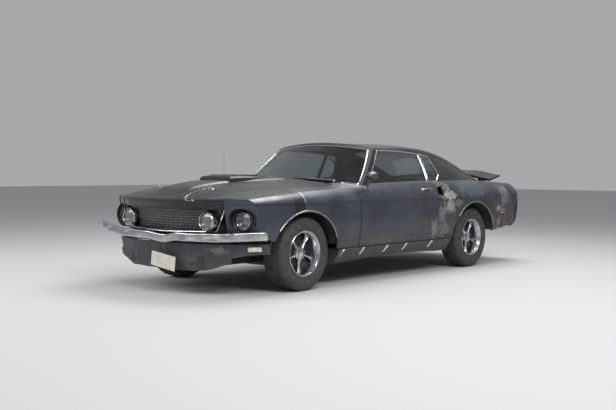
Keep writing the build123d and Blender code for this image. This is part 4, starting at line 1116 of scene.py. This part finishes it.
def pad(bm, centre, turn, size, pleats):
    """A stuffed block: a rounded box with pleats across its broad faces."""
    block = bmesh.new()
    bmesh.ops.create_cube(block, size=2)
    bmesh.ops.subdivide_edges(block, edges=block.edges[:], cuts=22, use_grid_fill=True)
    place = Matrix.Translation(centre) @ Matrix.Rotation(turn, 4, "Y")
    for v in block.verts:
        u = Vector(v.co)
        v.co = u / sum(abs(c) ** PAD_ROUND for c in u) ** (1 / PAD_ROUND)
        inside = math.prod(max(0, 1 - abs(c / area) ** 8) for c, area in zip(v.co, PLEAT_AREA))
        groove = (1 - abs(math.sin(math.pi * pleats * (u.x + 1) / 2))) ** 2
        piping = math.exp(-((abs(u.y) - PIPING_AT) / PIPING_WIDTH) ** 2)
        v.co.z *= (1 - PLEAT_DEPTH * inside * groove) * (1 - PIPING_DEPTH * piping)
        v.co = place @ Vector(tuple(c * s / 2 for c, s in zip(v.co, size)))
    mesh = bpy.data.meshes.new("pad")
    block.to_mesh(mesh)
    block.free()
    bm.from_mesh(mesh)
    bpy.data.meshes.remove(mesh)


def seats():
    """Pleated covers in the form of the seats."""
    for node in ("front_seats", "rear_seat"):
        bm = bmesh.new()
        for name, x, z, y, turn, size, pleats in SEATS:
            if name == node:
                for side in (-1, 1):
                    pad(bm, (x, side * y, z), math.radians(turn), size, pleats)
        piece = link(node + "_covers", bm, "chassis", "upholstery", smooth=60)
        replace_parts(piece, node)


STEER_HUB = (0.235, 0.370, 0.770)
STEER_AXIS = (-0.93, 0, 0.37)
STEER_RADIUS = 0.178
STEER_GRIP = 0.0168
STEER_RISE = 0.011


def steering_grip():
    """A round grip over the steering wheel's ring."""
    bm = bmesh.new()
    grip = [(STEER_RADIUS + STEER_GRIP * math.cos(a), STEER_RISE + STEER_GRIP * math.sin(a))
            for a in turns(14)]
    lathe(bm, grip, standing(STEER_HUB, STEER_AXIS), 64)
    link("steering_grip", bm, "chassis", "trim", smooth=60)


MARKS_X = (0.942, 0.649, 0.275, -0.040, -0.480)
MARK_Z = (0.265, 0.330)
MARK_LEAN = 0.030
MARK_WIDTH = (0.018, 0.032)
MARK_FACE = 0.0015
MARK_BACK = -0.001
RUSTY_X = 0.9
RUSTY_Z = 0.305


def sill_marks():
    """Five slanted strips of pale tape on the left sill, wider at the top; the first has a rusty foot."""
    bm = bmesh.new()
    for x in MARKS_X:
        rows = []
        for i in range(7):
            share = i / 6
            z, width = between(*MARK_Z, share), between(*MARK_WIDTH, share)
            middle = x + MARK_LEAN * (0.5 - share)
            (a, na), (b, nb) = (beside("rocker_left", 1, middle + k * width, z) for k in (-0.5, 0.5))
            corners = (a + MARK_FACE * na, b + MARK_FACE * nb, b + MARK_BACK * nb, a + MARK_BACK * na)
            rows.append([bm.verts.new(c) for c in corners])
        skin(bm, rows)
    mesh = link("sill_marks", bm, "chassis", "plate_white", TAPE).data
    mesh.materials.append(RUSTY_TAPE)
    for face in mesh.polygons:
        face.material_index = 1 if face.center.x > RUSTY_X and face.center.z < RUSTY_Z else 0


HANDLE = (-0.40, 0.845)
HANDLE_LENGTH = 0.15
HANDLE_LIFT = 0.003
HANDLE_BOW = 0.021
HANDLE_RADIUS = 0.0065
ROSETTE = ((0.0005, 0.006), (0.010, 0.006), (0.015, 0.002), (0.016, -0.003), (0.0005, -0.003))


def door_handles():
    """A bright pull and its two rosettes on each door."""
    for name, side in SIDES:
        door = "door_" + name
        bm = bmesh.new()
        ends = [beside(door, side, HANDLE[0] + k * HANDLE_LENGTH, HANDLE[1]) for k in (-0.5, 0.5)]
        for place, normal in ends:
            lathe(bm, ROSETTE, standing(place, normal), 20)
        (a, na), (b, nb) = ends
        pull = []
        for k in range(11):
            lift = HANDLE_LIFT + HANDLE_BOW * max(0, math.sin(math.pi * k / 10)) ** 0.5
            pull.append(a.lerp(b, k / 10) + na.lerp(nb, k / 10) * lift)
        tube(bm, pull, HANDLE_RADIUS)
        link("door_handle_" + name, bm, door, "chrome")


LANYARD = (
    (2.0475, 0.329, 0.884), (2.078, 0.319, 0.879), (2.118, 0.306, 0.869), (2.160, 0.296, 0.858),
    (2.204, 0.291, 0.845), (2.246, 0.293, 0.831), (2.284, 0.301, 0.817), (2.313, 0.312, 0.804),
    (2.331, 0.328, 0.793), (2.336, 0.348, 0.785), (2.331, 0.369, 0.781), (2.323, 0.386, 0.781),
    (2.313, 0.400, 0.784),
)
LANYARD_DIAMETER = 0.004


def lanyard():
    """The steel cord from the left hood pin to its eye."""
    curve = bpy.data.curves.new("lanyard_cord", "CURVE")
    curve.dimensions = "3D"
    curve.bevel_depth = LANYARD_DIAMETER / 2
    line = curve.splines.new("NURBS")
    line.points.add(len(LANYARD) - 1)
    for point, place in zip(line.points, LANYARD):
        point.co = (*place, 1)
    line.order_u = 3
    line.use_endpoint_u = True
    line.resolution_u = 6
    curve.materials.append(FINISHES["chrome"])
    piece = bpy.data.objects.new("lanyard_cord", curve)
    bpy.context.scene.collection.objects.link(piece)
    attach(piece, "hood")


FLOOR_HALF = 40
FLOOR_COLOUR = (0.52, 0.52, 0.53, 1)
WORLD_COLOUR = (0.78, 0.79, 0.8, 1)
WORLD_STRENGTH = 0.5
LAMP_AIM = Vector((0.3, 0, 0.5))
LAMPS = (
    # name, place, width and height, power in watts
    ("key", (3.5, 6.0, 5.5), (6.0, 2.5), 420),
    ("fill", (6.5, -3.5, 4.0), (5.0, 3.0), 220),
    ("top", (-1.9, 0.5, 6.0), (4.6, 3.0), 330),
)


def studio():
    """A pale floor and soft lamps."""
    scene = bpy.context.scene
    scene.view_settings.view_transform = "Standard"
    mesh = bpy.data.meshes.new("floor")
    corners = [(x * FLOOR_HALF, y * FLOOR_HALF, 0) for x, y in ((-1, -1), (1, -1), (1, 1), (-1, 1))]
    mesh.from_pydata(corners, [], [(0, 1, 2, 3)])
    floor = bpy.data.objects.new("floor", mesh)
    scene.collection.objects.link(floor)
    f = Finish("floor")
    f.set(Base_Color=FLOOR_COLOUR, Roughness=0.85)
    mesh.materials.append(f.material)
    world = bpy.data.worlds.new("studio")
    world.use_nodes = True
    light = world.node_tree.nodes["Background"].inputs
    light["Color"].default_value = WORLD_COLOUR
    light["Strength"].default_value = WORLD_STRENGTH
    scene.world = world
    for name, place, size, power in LAMPS:
        lamp = bpy.data.lights.new(name, "AREA")
        lamp.shape = "RECTANGLE"
        lamp.size, lamp.size_y = size
        lamp.energy = power
        stand = bpy.data.objects.new(name, lamp)
        stand.location = place
        stand.rotation_euler = (LAMP_AIM - Vector(place)).to_track_quat("-Z", "Y").to_euler()
        scene.collection.objects.link(stand)


camera()
finish_nodes()
for wheel in WHEELS:
    dress_wheel(wheel)
dress_lamps()
dented_panels()
header_panel()
hood_bulge()
scoop()
hood_pins()
mirror()
wipers()
aerial_and_pipes()
marker_lamps()
arch_lips()
cheeks()
grille_mesh()
glass_trim()
seats()
steering_grip()
sill_marks()
door_handles()
lanyard()
studio()
